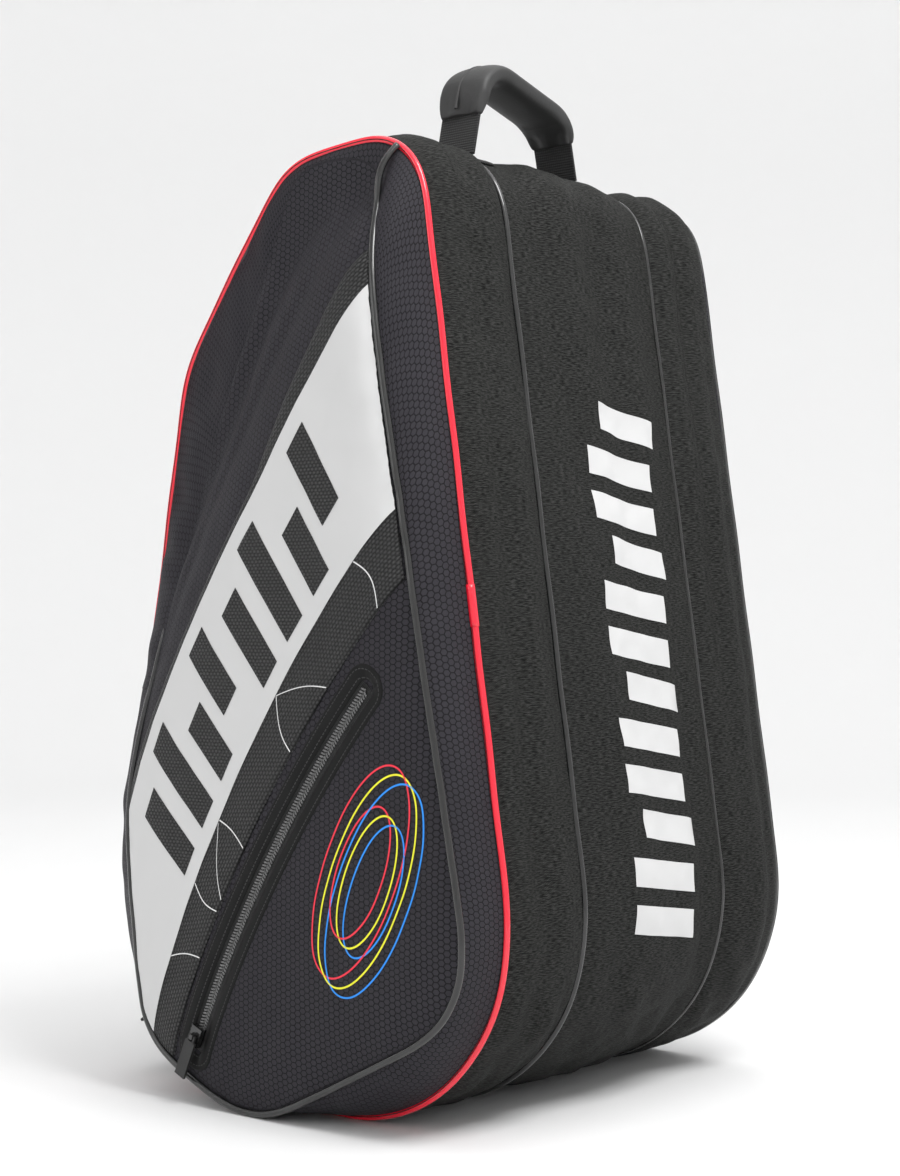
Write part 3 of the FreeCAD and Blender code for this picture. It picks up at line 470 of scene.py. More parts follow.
# a place inside both outlines, from which they are drawn by angle
HEART = np.array([10.0, 250.0]) * MM


def ripple(x, y, scale, seed):
    """Smooth deterministic waviness between about -1 and 1."""
    generator = np.random.default_rng(seed)
    result = np.zeros(np.broadcast(x, y).shape)
    for _ in range(7):
        angle, phase = generator.uniform(0, 2 * math.pi, 2)
        pace = generator.uniform(0.5, 1.6) / scale * 2 * math.pi
        result += np.sin((np.cos(angle) * x + np.sin(angle) * y) * pace + phase)
    return result / 4


def soft_max(a, b, width):
    """The larger of two values, rounded over where they cross."""
    return (a + b + np.sqrt((a - b) ** 2 + width ** 2)) / 2


def polar(x, z):
    """Angle and distance of a place from the heart."""
    offset = stack(x - HEART[0], z - HEART[1])
    return np.arctan2(offset[..., 1], offset[..., 0]), np.linalg.norm(offset, axis=-1)


def face_y(x, z, lift=0.0):
    """Depth of the pocket's padded face above a place in the XZ plane."""
    run = (RIDGE_HIGH - RIDGE_LOW) / np.linalg.norm(RIDGE_HIGH - RIDGE_LOW)
    beyond = (z - RIDGE_LOW[1]) * run[0] - (x - RIDGE_LOW[0]) * run[1]
    slope = soft_max(beyond * RIDGE_FALL, 0 * beyond, 7 * MM)
    crown = soft_max((z - CROWN_LEVEL) * CROWN_FALL, 0 * beyond, 34 * MM)
    angle, reach = polar(x, z)
    edge = np.clip(reach / POCKET.radius(HEART, angle), 0, 1.02)
    tuck = 5.0 * MM * edge ** 14
    arc = np.hypot(x - ZIP_CENTRE.x, z - ZIP_CENTRE.z) - ZIP_RADIUS
    turn = np.arctan2(z - ZIP_CENTRE.z, x - ZIP_CENTRE.x)
    along = np.clip((turn - (ZIP_START + ZIP_PAD * 1.6)) / -(ZIP_ANGLE + 3.2 * ZIP_PAD), -0.06, 1.06)
    inside = np.clip((0.5 - np.abs(along - 0.5)) * 40 + 1, 0, 1)
    groove = 2.8 * MM * np.exp(-(arc / GROOVE_HALF) ** 4) * inside
    waves = 0.5 * MM * ripple(x, z, 0.09, 3) + 0.35 * MM * ripple(x, z, 0.035, 4) * edge
    calm = np.exp(-(arc / (22 * MM)) ** 4)
    waves = waves * (1 - calm) + 0.3 * MM * inside * calm
    # folds run up the falling side of the face, above its middle
    high_up = np.clip((z - 230 * MM) / (90 * MM), 0, 1)
    for place, width, depth in FACE_FOLDS:
        drift = 4 * np.sin(z * 21 + place * 90)
        slope = slope + depth * MM * high_up * np.exp(-((beyond / MM - place - drift) / width) ** 2)
    level = FACE_Y + slope + crown + tuck
    # the cloth never sinks behind the front board
    level = -soft_max(-level, 3.6 * MM - SEAMS[0], 5 * MM)
    return level + groove + waves - lift


def face_points(x, z, lift=0.0):
    """Places on the pocket's face, or lifted off it."""
    return stack(x, face_y(x, z, lift), z)


def zip_place(along, offset):
    """XZ of a place on the zip's arc: metres along from its low end, metres off it to the upper left."""
    turn = ZIP_START + ZIP_PAD - along / ZIP_RADIUS
    radius = ZIP_RADIUS + offset
    return ZIP_CENTRE.x + radius * np.cos(turn), ZIP_CENTRE.z + radius * np.sin(turn)


def on_zip(along, offset, lift):
    """A place on the pocket's face, counted along and off the zip."""
    return face_points(*zip_place(along, offset), lift)


SECTIONS = {"front": (SEAMS[0], SEAMS[1]), "main": (SEAMS[1], SEAMS[2]), "rear": (SEAMS[2], SEAMS[3])}
SEAM_SINK = 2.3 * MM
# share of the way across the gusset, width and depth in millimetres of each long fold
VALLEYS = {
    "front": [(0.45, 0.14, 4.2), (0.85, 0.08, 1.8)],
    "main": [(0.20, 0.09, 4.2), (0.62, 0.13, 4.4), (0.88, 0.07, 4.2)],
    "rear": [(0.40, 0.13, 5.4), (0.78, 0.10, 3.4)],
}


def gusset_offset(section, index, y):
    """How far a gusset's cloth stands out from the outline, by outline sample and depth."""
    low, high = SECTIONS[section]
    share = np.clip((y - low) / (high - low), 0, 1)
    normal = BAG.normals[index]
    height = BAG.points[index][..., 1]
    fullness = 1.2 + 3.3 * np.clip(normal[..., 0] + 0.35, 0, 1) + 2.2 * np.clip(normal[..., 1], 0, 1)
    fullness = fullness * MM * np.clip((normal[..., 1] + 1.0) / 0.5, 0, 1)
    body = 1 - np.abs(2 * share - 1) ** 2.6
    offset = -SEAM_SINK + (fullness + SEAM_SINK) * body
    run = index * BAG.step
    for number, (place, width, depth) in enumerate(VALLEYS[section]):
        drift = place + 0.05 * np.sin(run * 9 + number * 2 + low * 30)
        strength = 0.5 + 0.5 * np.sin(run * 6.5 + number * 1.7 + low * 50)
        offset = offset - depth * MM * strength * np.exp(-((share - drift) / width) ** 2) * body ** 0.4
    loose = body ** 0.5
    offset = offset + loose * 1.5 * MM * ripple(run * 0.45, y, 0.045, 11 + len(section))
    offset = offset + loose * 0.6 * MM * ripple(run * 0.7, y, 0.02, 17)
    # short slanting creases where the right wall turns into the base
    low_folds = np.exp(-((height - 0.03) / 0.05) ** 2) * np.clip(normal[..., 0], 0, 1)
    crease = np.sin((run * 0.8 + y * 1.1) * 150 + 4 * share)
    offset = offset + loose * low_folds * 1.3 * MM * crease
    flat = BAG.points[index]
    place = stack(flat[..., 0], y, flat[..., 1])
    # the cloth lies flat round the mouths, so that the flaps and sliders clear it
    for mouth in MOUTHS.values():
        along, across, out = mouth.local(place)
        gap = np.maximum(np.maximum(mouth.low - along, along - mouth.high),
                         np.maximum(-across, across - mouth.width - SLOT_WIDTH))
        calm = np.clip(1.3 - gap / (20 * MM), 0, 1) * (np.abs(out) < 25 * MM)
        edge = np.clip(np.minimum(share, 1 - share) * (high - low) / (5 * MM), 0, 1)
        offset = offset + (-0.3 * MM - SEAM_SINK * (1 - edge) - offset) * calm ** 2 * (3 - 2 * calm)
    return offset


def gusset_points(section, index, y, lift=0.0):
    """Places on a gusset's cloth, never below the floor."""
    offset = gusset_offset(section, index, y) + lift
    flat = BAG.points[index] + BAG.normals[index] * offset[..., None]
    return stack(flat[..., 0], y, np.maximum(flat[..., 1], 0.4 * MM))


# ---------------------------------------------------------------- mouths in the gussets

SLOT_WIDTH = 9 * MM
FLAP_REACH = 14 * MM
END_GAP = 0.3 * MM


class Mouth:
    """A compartment's opening: its flap's frame, read from the flap's hinge and box."""

    def __init__(self, name):
        joint = JOINTS[f"{name}_flap_open"]
        self.hinge = np.array(joint["pos_m"])
        self.along = np.array(joint["axis"])
        corners = corners_of(f"{name}_flap") - self.hinge
        if name == "main":
            # the top flap leans, so its farthest corner shows which way it reaches
            far = corners[np.argmax(np.linalg.norm(corners[:, [0, 2]], axis=1))]
            across = far - self.along * far.dot(self.along)
        else:
            # a side flap reaches straight back or forward from its hinge to its zip
            zip_middle = np.array(middle_of(f"{name}_flap_zip")) - self.hinge
            across = (zip_middle - self.along * zip_middle.dot(self.along)) * np.array([0, 1, 0])
        self.out = np.cross(self.along, across)
        self.out /= np.linalg.norm(self.out)
        self.across = across / np.linalg.norm(across)
        if self.out.dot(self.hinge * np.array([1, 0, 1]) - np.array([0, 0, 0.25])) < 0:
            self.out = -self.out
        runs = corners @ self.along
        self.low, self.high = runs.min(), runs.max()
        self.width = (corners @ self.across).max()

    def local(self, point):
        """Distances along the hinge, across the flap and out of the bag."""
        offset = np.asarray(point) - self.hinge
        return offset @ self.along, offset @ self.across, offset @ self.out

    def world(self, along, across):
        """The place at distances along the hinge and across the flap."""
        return self.hinge + self.along * along + self.across * across


MOUTHS = {name: Mouth(name) for name in ("front", "main", "rear")}


def split_mouth(item, mouth, flap_name):
    """Cut a skin along a mouth's edges; the flap's cloth becomes its own piece."""
    mesh = bmesh.new()
    mesh.from_mesh(item.data)
    ends = (mouth.low - END_GAP, mouth.high + END_GAP)
    cuts = [(mouth.world(end, 0), mouth.along) for end in ends]
    cuts += [(mouth.world(0, side), mouth.across) for side in (0.0, mouth.width, mouth.width + SLOT_WIDTH)]
    for place, direction in cuts:
        parts = mesh.verts[:] + mesh.edges[:] + mesh.faces[:]
        bmesh.ops.bisect_plane(mesh, geom=parts, plane_co=place, plane_no=direction, dist=1e-6)
    layer = mesh.loops.layers.uv["cloth"]
    index, vertices, faces, uvs, gone = {}, [], [], [], []
    for face in mesh.faces:
        along, across, out = mouth.local(face.calc_center_median())
        in_reach = abs(out) <= FLAP_REACH and ends[0] < along < ends[1]
        if not in_reach or not 0 < across < mouth.width + SLOT_WIDTH:
            continue
        gone.append(face)
        if across >= mouth.width:
            continue
        corners = []
        for loop in face.loops:
            key = tuple(round(value, 6) for value in loop.vert.co)
            if key not in index:
                index[key] = len(vertices)
                vertices.append(tuple(loop.vert.co))
                uvs.append(tuple(loop[layer].uv))
            corners.append(index[key])
        faces.append(corners)
    bmesh.ops.delete(mesh, geom=gone, context="FACES")
    mesh.to_mesh(item.data)
    mesh.free()
    return make_object(flap_name, vertices, faces, uvs)


# the middle of the bag; cloth faces away from it
MIDDLE = np.array([0.0, 0.0, 0.28])


def thicken(item, thickness, offset=-1):
    """Give cloth a thickness, inwards from its outer face."""
    mesh = item.data
    centres = np.array([tuple(face.center) for face in mesh.polygons])
    normals = np.array([tuple(face.normal) for face in mesh.polygons])
    if ((centres - MIDDLE) * normals).sum() < 0:
        mesh.flip_normals()
    solid = item.modifiers.new("thickness", "SOLIDIFY")
    solid.thickness = thickness
    solid.offset = offset
    apply_modifiers(item)
    return item


def gusset(section, name, count, lift=0.0):
    """One section's side wall all the way round, with samples closer together at its seams."""
    low, high = SECTIONS[section]
    share = (1 - np.cos(np.linspace(0, math.pi, count))) / 2
    share = share * 0.6 + np.linspace(0, 1, count) * 0.4
    index, y = np.meshgrid(np.arange(BAG.count + 1) % BAG.count, low + (high - low) * share, indexing="ij")
    points = gusset_points(section, index, y, lift)
    run = np.arange(BAG.count + 1)[:, None] * BAG.step + 0 * y
    uvs = stack(y, run)
    return grid_object(name, points, uvs)


for section in SECTIONS:
    skin = gusset(section, f"{section}_gusset_skin", 34 if section == "main" else 22)
    flap = split_mouth(skin, MOUTHS[section], f"{section}_flap_skin")
    thicken(skin, 1.8 * MM)
    thicken(flap, 1.8 * MM)
    dress(skin, "twill", f"{section}_gusset")
    dress(flap, "twill", f"{section}_flap", body=f"{section}_flap")
    lining = gusset(section, f"{section}_lining_skin", 14, lift=-5.2 * MM)
    bpy.data.objects.remove(split_mouth(lining, MOUTHS[section], f"{section}_spare"))
    thicken(lining, 0.5 * MM)
    dress(lining, "lining", f"{section}_lining")


# ---------------------------------------------------------------- panels

def panel(name, node, slot, seam, thickness, inset, bulge_front=0.0, bulge_rear=0.0, seed=1):
    """A flat padded board: two crowned faces and a rounded rim."""
    turns = np.linspace(-math.pi, math.pi, 241)[:-1]
    reach = BAG.radius(HEART, turns) - inset
    shares = np.concatenate([np.linspace(0.02, 0.94, 26), [0.975, 1.0]])
    rings = []
    for side, bulge in ((-1, bulge_front), (1, bulge_rear)):
        for share in (shares if side < 0 else shares[::-1]):
            x = HEART[0] + np.cos(turns) * reach * share
            z = np.maximum(HEART[1] + np.sin(turns) * reach * share, 2.4 * MM)
            half = thickness / 2 * (1 - max(0, share - 0.94) / 0.06 * 0.55)
            swell = bulge * (1 - share ** 3) + 0.5 * MM * ripple(x, z, 0.07, seed) * (1 - share ** 6)
            rings.append(stack(x, SEAMS[seam] + side * (half + swell), z))
    points = np.array(rings)
    vertices = points.reshape(-1, 3)
    item = make_object(name, vertices, tube_faces(*points.shape[:2]), vertices[:, [0, 2]])
    return dress(item, slot, node)


panel("front_panel_board", "front_panel", "lining", 0, 5 * MM, 3.4 * MM)
panel("front_divider_board", "front_divider", "lining", 1, 5.5 * MM, 7 * MM, 0.5 * MM, 0.5 * MM, seed=2)
panel("rear_divider_board", "rear_divider", "lining", 2, 5.5 * MM, 7 * MM, 0.5 * MM, 0.5 * MM, seed=3)
panel("rear_panel_skin", "rear_panel", "hex", 3, 6 * MM, 2.6 * MM, 7 * MM, seed=4)


# ---------------------------------------------------------------- front pocket

def pocket_skin():
    """Side wall from the bag's seam to the pocket's edge, then the padded face."""
    turns = np.linspace(-math.pi, math.pi, 721)
    outer = BAG.radius(HEART, turns) - 2.6 * MM
    inner = POCKET.radius(HEART, turns) - 2.2 * MM
    gap = outer - inner
    edge_x = HEART[0] + np.cos(turns) * inner
    edge_z = HEART[1] + np.sin(turns) * inner
    edge_y = face_y(edge_x, edge_z)
    around = np.concatenate([[0], np.cumsum(np.hypot(np.diff(edge_x), np.diff(edge_z)))])
    start_y = SEAMS[0] - 0.8 * MM
    steep = np.clip(1 - (gap - 18 * MM) / (55 * MM), 0, 1)
    rings, cloth = [], []
    travel = 0.0
    for share in np.linspace(0, 1, 34):
        round_in = 1 - math.cos(share * math.pi / 2)
        round_out = math.sin(share * math.pi / 2)
        inward = share + (round_in - share) * steep * 0.85
        outward = share + (round_out - share) * (0.25 + 0.6 * steep)
        reach = outer + (inner - outer) * inward
        y = start_y + (edge_y - start_y) * outward
        x = HEART[0] + np.cos(turns) * reach
        z = HEART[1] + np.sin(turns) * reach
        loose = math.sin(share * math.pi)
        y = y + loose * (1.1 * MM * ripple(turns * 0.22, reach, 0.06, 21) + 0.5 * MM * ripple(x, z, 0.03, 22))
        z = np.maximum(z, 1.0 * MM)
        rings.append(stack(x, y, z))
        if share:
            travel = travel + np.linalg.norm(rings[-1] - rings[-2], axis=-1)
        cloth.append(stack(travel + 0 * turns, around))
    for share in np.concatenate([[0.995, 0.985, 0.97], np.linspace(0.95, 0.01, 80)]):
        x = HEART[0] + np.cos(turns) * inner * share
        z = HEART[1] + np.sin(turns) * inner * share
        rings.append(face_points(x, z))
        cloth.append(stack(x, 0, z)[..., [0, 2]])
    item = grid_object("pocket_skin", np.array(rings), np.array(cloth))
    return dress(thicken(item, 1.2 * MM), "hex", "pocket_shell")


pocket_skin()


def pocket_share(x, z):
    """How far out a place lies, from 0 at the heart to 1 at the pocket's outline."""
    angle, reach = polar(x, z)
    return reach / POCKET.radius(HEART, angle)


def along_profile(*knots):
    """A distance off the zip line that changes smoothly along it, from a few places in millimetres."""
    places, values = np.array(knots).T * MM
    fine = np.linspace(places[0] - 0.2, places[-1] + 0.2, 400)
    level = np.interp(fine, places, values)
    smooth_inside(level, 60)
    return lambda along: np.interp(along, fine, level)


BAND_INNER = along_profile((-20, 15), (330, 22))
BAND_OUTER = along_profile((-20, 116), (118, 130), (280, 146), (350, 170), (400, 187))
PRINT_INNER = along_profile((-20, 36), (330, 55))
PRINT_OUTER = along_profile((-20, 110), (96, 119), (150, 128), (292, 143), (400, 168))


def band_patch(name, inner, outer, margin, lift, columns, tuck, rows=260):
    """A strip on the pocket face that follows the zip's arc, cut off at the pocket's outline."""
    points, uvs = [], []
    search = np.linspace(-200 * MM, 620 * MM, 1641)
    for share in np.linspace(0, 1, columns):
        offset = inner(search) + (outer(search) - inner(search)) * share
        x, z = zip_place(search, offset)
        angle, reach = polar(x, z)
        inside = search[reach < POCKET.radius(HEART, angle) - margin]
        along = np.linspace(inside[0], inside[-1], rows)
        offset = inner(along) + (outer(along) - inner(along)) * share
        edge = np.clip(np.minimum(share, 1 - share) * (outer(along) - inner(along)) / (3 * MM), 0, 1)
        rise = lift * (1 - tuck + tuck * np.sqrt(edge))
        points.append(on_zip(along, offset, rise))
        uvs.append(stack(along, offset))
    return grid_object(name, np.array(points), np.array(uvs))


band = band_patch("mesh_band_cloth", BAND_INNER, BAND_OUTER, 3.4 * MM, 1.5 * MM, 80, 0.75)
dress(thicken(band, 0.9 * MM), "mesh", "mesh_band")
film = band_patch("print_film_sheet", PRINT_INNER, PRINT_OUTER, 3.4 * MM, 1.75 * MM, 50, 0.0)
dress(film, "film", "band_film")


def quad_patch(name, slot, corners, place, steps=14):
    """A printed four-cornered mark; place turns its flat coordinates into points on the cloth."""
    across, along = np.meshgrid(np.linspace(0, 1, steps), np.linspace(0, 1, steps), indexing="ij")
    flat = sum(np.array(corner)[:, None, None] * weight for corner, weight in zip(corners, (
        (1 - across) * (1 - along), across * (1 - along), across * along, (1 - across) * along)))
    points = place(flat[0], flat[1])
    flattest = np.argmin(np.ptp(points, axis=(0, 1)))
    item = grid_object(name, points, np.delete(points, flattest, axis=-1))
    return dress(item, slot)


def on_print(along, share):
    """A place on the printed film: metres along the zip, share across from 0 to 1."""
    offset = PRINT_INNER(along) + (PRINT_OUTER(along) - PRINT_INNER(along)) * share
    return on_zip(along, offset, 1.95 * MM)


def on_band(along, share):
    """A place on the mesh between the zip and the film."""
    offset = BAND_INNER(along) + (PRINT_INNER(along) - BAND_INNER(along)) * share
    return on_zip(along, offset, 1.85 * MM)


# generic slanted bars break up the film where a maker would print a name
BAR_HEIGHTS = [(0.12, 0.88), (0.12, 0.60), (0.34, 0.88), (0.12, 0.74)]
BAR_PITCH, BAR_WIDTH, BAR_SLANT = 31 * MM, 18 * MM, 16 * MM
for number in range(14):
    low, high = BAR_HEIGHTS[number % len(BAR_HEIGHTS)]
    left = BAR_PITCH * number - 6 * MM
    lean = BAR_SLANT * (high - low)
    ends = np.array([left, left + BAR_WIDTH, left + BAR_WIDTH + lean, left + lean])
    shares = np.array([low, low, high, high])
    offsets = PRINT_INNER(ends) + (PRINT_OUTER(ends) - PRINT_INNER(ends)) * shares
    if pocket_share(*zip_place(ends, offsets)).max() < 0.955:
        quad_patch(f"band_bar_{number + 1}", "mesh", list(zip(ends, shares)), on_print)


def ribbon(name, slot, flat, width, place, closed=False, stretch=(1, 1)):
    """A thin printed line along flat coordinates."""
    tangent = directions(flat, closed)
    side = stack(-tangent[:, 1], tangent[:, 0]) * width / 2 * np.array(stretch)
    if closed:
        flat, side = np.vstack([flat, flat[:1]]), np.vstack([side, side[:1]])
    edges = np.stack([flat - side, flat, flat + side])
    points = place(edges[..., 0], edges[..., 1])
    return dress(grid_object(name, points, edges), slot)


def on_face(x, z):
    """A printed place on the pocket's face."""
    return face_points(x, z, 0.35 * MM)


# three thin overlapping ovals, tilted, as the pocket's ornament
OVAL_CENTRE = np.array([88.0, 146.0]) * MM
OVAL_HALF = np.array([27.0, 66.0]) * MM
OVAL_TILT = math.radians(-24)
for name, slot, shift in (("red", "line_red", (-5, 5)), ("yellow", "line_yellow", (0, 0)),
                          ("blue", "line_blue", (5, -5))):
    turn = np.linspace(0, 2 * math.pi, 181)[:-1]
    for ring, scale in (("outer", 1.0), ("inner", 0.62)):
        x = np.cos(turn) * OVAL_HALF[0] * scale
        z = np.sin(turn) * OVAL_HALF[1] * scale
        spun = stack(x * math.cos(OVAL_TILT) - z * math.sin(OVAL_TILT),
                         x * math.sin(OVAL_TILT) + z * math.cos(OVAL_TILT))
        ribbon(f"ornament_{name}_{ring}", slot, spun + OVAL_CENTRE + np.array(shift) * MM,
               1.1 * MM, on_face, closed=True)

# thin curved printed lines that cross the mesh beside the zip
for number, (start, end, bow) in enumerate(((52, 40, 2), (84, 88, -3), (92, 128, -4), (128, 130, 2),
                                            (196, 214, -4), (242, 214, 3), (300, 306, 5))):
    share = np.linspace(0, 1, 30)
    along = (start + (end - start) * share + bow * np.sin(share * math.pi)) * MM
    ribbon(f"contour_{number + 1}", "grey_line", stack(along, 0.02 + 0.96 * share), 0.8 * MM,
           on_band, stretch=(1, 30))


# ---------------------------------------------------------------- pocket zip

ARC_LENGTH = ZIP_RADIUS * ZIP_ANGLE + 2 * SLIDER_HALF
FRAME_MARGIN = 10 * MM
HALF_SLOT = SLOT_WIDTH / 2
# share of the way out from the slot, and lift in millimetres
FRAME_PROFILE = [(0.0, -0.8), (0.04, 0.3), (0.12, 0.55), (0.5, 0.5), (0.88, 0.5), (0.96, 0.4), (1.0, 0.0)]


def round_slot(share, reach, squash):
    """A place on an even border round the zip slot, at a share of the way round."""
    straight, overrun = ARC_LENGTH + 2 * MM, 1 * MM
    quarter = share * 4
    turn = (quarter % 2 - 1) * math.pi
    if quarter < 1:
        return straight * quarter - overrun, reach
    if quarter < 2:
        return straight - overrun + math.sin(turn) * reach * squash, math.cos(turn) * reach
    if quarter < 3:
        return straight * (3 - quarter) - overrun, -reach
    return -overrun - math.sin(turn) * reach * squash, -math.cos(turn) * reach


def zip_frame():
    """Welded film round the zip slot, with rounded ends."""
    shares = np.linspace(0, 1, 200, endpoint=False)
    inner, outer = (np.array([round_slot(share, reach, squash) for share in shares])
                    for reach, squash in ((HALF_SLOT, 0.8), (HALF_SLOT + FRAME_MARGIN, 0.9)))
    inner, outer = np.vstack([inner, inner[:1]]), np.vstack([outer, outer[:1]])
    points, uvs = [], []
    for share, lift in FRAME_PROFILE:
        flat = inner + (outer - inner) * share
        points.append(on_zip(flat[:, 0], flat[:, 1], lift * MM))
        uvs.append(flat)
    item = grid_object("zip_frame_film", np.array(points), np.array(uvs))
    return dress(item, "zip_film", "pocket_zip_frame")


zip_frame()


def coil_rows(name, place, length, body, node, halves=(-1, 1), pitch=2.1 * MM, half=3.1 * MM):
    """Nylon coil: slanted rounded teeth on one or both sides of the middle."""
    vertices, faces = [], []
    sides = 6
    for number in range(int(length / pitch)):
        for side in halves:
            start = (number + (0.5 if side > 0 else 0.0)) * pitch
            base = len(vertices)
            for step in range(5):
                share = step / 4
                along = start + share * 0.55 * pitch
                across = side * half * (1 - share * 1.04)
                rise = 1.0 * MM * math.sin(math.pi * (0.12 + 0.80 * share))
                for corner in range(sides):
                    turn = corner / sides * 2 * math.pi
                    vertices.append((along + math.cos(turn) * 0.42 * pitch, across,
                                     rise + math.sin(turn) * 0.36 * MM))
            for step in range(4):
                for corner in range(sides):
                    after = (corner + 1) % sides
                    faces.append((base + step * sides + corner, base + step * sides + after,
                                  base + (step + 1) * sides + after, base + (step + 1) * sides + corner))
    flat = np.array(vertices)
    points = place(flat[:, 0], flat[:, 1], flat[:, 2])
    return dress(make_object(name, points, faces), "coil", node, body=body)


def above_zip(base):
    """Places beside the zip whose height is counted from a lift above the pocket's face."""
    return lambda along, offset, rise: on_zip(along, offset, rise + base)


coil_rows("pocket_coil", above_zip(0.3 * MM), ARC_LENGTH, "bag", "pocket_zip")
tape_along, tape_offset = np.meshgrid(np.linspace(-2 * MM, ARC_LENGTH + 2 * MM, 120),
                                      np.linspace(-7 * MM, 7 * MM, 9), indexing="ij")
dress(grid_object("pocket_tape", on_zip(tape_along, tape_offset, 0.15 * MM),
                  stack(tape_along, tape_offset)), "tape")


def stitches(name, path, pitch, place, width=0.55 * MM):
    """A dashed row of thread: short rounded stitches along a flat path."""
    path = np.asarray(path)
    along = distances_along(path)
    vertices, faces = [], []
    for start in np.arange(0.4 * MM, along[-1] - pitch, pitch):
        ends = []
        for place_along in (start, start + pitch * 0.35, start + pitch * 0.68):
            ends.append([np.interp(place_along, along, path[:, axis]) for axis in (0, 1)])
        ends = np.array(ends)
        run = (ends[-1] - ends[0]) / np.linalg.norm(ends[-1] - ends[0])
        side = np.array([-run[1], run[0]]) * width / 2
        base = len(vertices)
        for end, rise in zip(ends, (0.0, 0.35 * MM, 0.0)):
            vertices.extend([(*(end - side), 0), (*end, rise), (*(end + side), 0)])
        for row in (0, 1):
            for column in (0, 1):
                first = base + row * 3 + column
                faces.append((first, first + 3, first + 4, first + 1))
    flat = np.array(vertices)
    points = place(flat[:, 0], flat[:, 1], flat[:, 2])
    return dress(make_object(name, points, faces), "stitch")


for number, distance in enumerate((2.4 * MM, FRAME_MARGIN - 2.2 * MM)):
    reach = HALF_SLOT + distance
    loop = [(along, reach) for along in np.linspace(0, ARC_LENGTH, 40)]
    loop += [(ARC_LENGTH + math.sin(turn) * reach * 0.9, math.cos(turn) * reach)
             for turn in np.linspace(0, math.pi, 20)]
    loop += [(along, -reach) for along in np.linspace(ARC_LENGTH, 0, 40)]
    loop += [(-math.sin(turn) * reach * 0.9, -math.cos(turn) * reach) for turn in np.linspace(0, math.pi, 20)]
    stitches(f"zip_stitching_{number + 1}", loop, 2.6 * MM, above_zip(0.6 * MM))


# ---------------------------------------------------------------- piping

CORD = 2.2 * MM
CORD_SINK = (1.7 * MM, 1.7 * MM, 3.4 * MM, 3.4 * MM)
# millimetres out from the outline and away from the seam
LIP_PROFILE = [(-4.5, 0.4), (-2.6, 1.5), (-1.7, 2.35)]


def seam_path(index):
    """The middle line of a seam's cord, sunk a little into the cloth."""
    path = BAG.points + BAG.normals * -CORD_SINK[index]
    return stack(path[:, 0], SEAMS[index], np.maximum(path[:, 1], 2.3 * MM))


for index, (node, slot) in enumerate(zip(SEAM_PIPINGS, ("red", "black_cord", "black_cord", "black_cord"))):
    wobble = 0.35 * MM * np.sin(np.arange(BAG.count) * 0.21 + index)
    wobble[0] = 0
    path = seam_path(index)
    path[:, 1] += wobble
    dress(tube(f"{node}_cord", path, CORD, sides=16), slot, node)
    # the cord's sewn flange, between it and the cloth on each side
    for side in (-1, 1):
        lip = []
        for out, across in LIP_PROFILE:
            flat = BAG.points + BAG.normals * out * MM
            lip.append(stack(flat[:, 0], path[:, 1] + side * across * MM, np.maximum(flat[:, 1], 0.6 * MM)))
        lip = np.array(lip)
        lip = np.concatenate([lip, lip[:, :1]], axis=1)
        grid = grid_object(f"{node}_lip_{'front' if side < 0 else 'rear'}", lip, lip[..., [0, 2]])
        dress(thicken(grid, 0.3 * MM, offset=0), slot if index == 1 else "twill")

# the pocket's cord leaves the top seam, follows the right edge and the base, and fades out up the left edge
turns = np.radians(np.linspace(77, -216, 500))
rim = POCKET.radius(HEART, turns) - 0.3 * MM
rim_x, rim_z = HEART[0] + np.cos(turns) * rim, np.maximum(HEART[1] + np.sin(turns) * rim, 2.2 * MM)
fade = np.clip((np.arange(500) - 430) / 70, 0, 1)
rim_y = face_y(rim_x, rim_z) - 0.9 * MM + 3.2 * MM * fade
edge = stack(rim_x, rim_y, rim_z)
seam_end = np.array([79 * MM, SEAMS[0] - 3 * MM, 566 * MM])
rise = np.linspace(0, 1, 24)[:-1, None]
bow = np.array([-2 * MM, -4 * MM, 3 * MM])
lead = seam_end + (edge[0] - seam_end) * rise + bow * np.sin(rise * math.pi)
edge = np.vstack([lead, edge])
smooth_inside(edge, 6)
dress(tube("pocket_cord", edge, 2.1 * MM, closed=False, sides=16), "black_cord", "pocket_piping")

# a short sleeve of vinyl covers the ends of the red cord where they meet
SPLICE_HEIGHT = 300 * MM
splice = [i for i in range(BAG.count)
          if BAG.normals[i][0] > 0.8 and abs(BAG.points[i][1] - SPLICE_HEIGHT) < 13 * MM]
path = seam_path(0)[splice]
dress(tube("red_splice", path, 2.75 * MM, closed=False, sides=18), "red")


# ---------------------------------------------------------------- graphic on the right side

def on_right_side(y, height, lift=0.35 * MM):
    """A place on the main gusset's +X wall, by depth and height."""
    right = BAG.normals[:, 0] > 0.3
    order = np.argsort(BAG.points[right][:, 1])
    heights = BAG.points[right][:, 1][order]
    samples = np.nonzero(right)[0][order]
    exact = np.interp(height, heights, samples)
    first = np.floor(exact).astype(int)
    share = exact - first
    low = gusset_points("main", first % BAG.count, y, lift)
    high = gusset_points("main", (first + 1) % BAG.count, y, lift)
    return low + (high - low) * share[..., None]


def side_patch(name, *corners):
    """A printed mark on the side, from four corners in millimetres."""
    quad_patch(name, "film", [np.array(corner) * MM for corner in corners], on_right_side, steps=26)


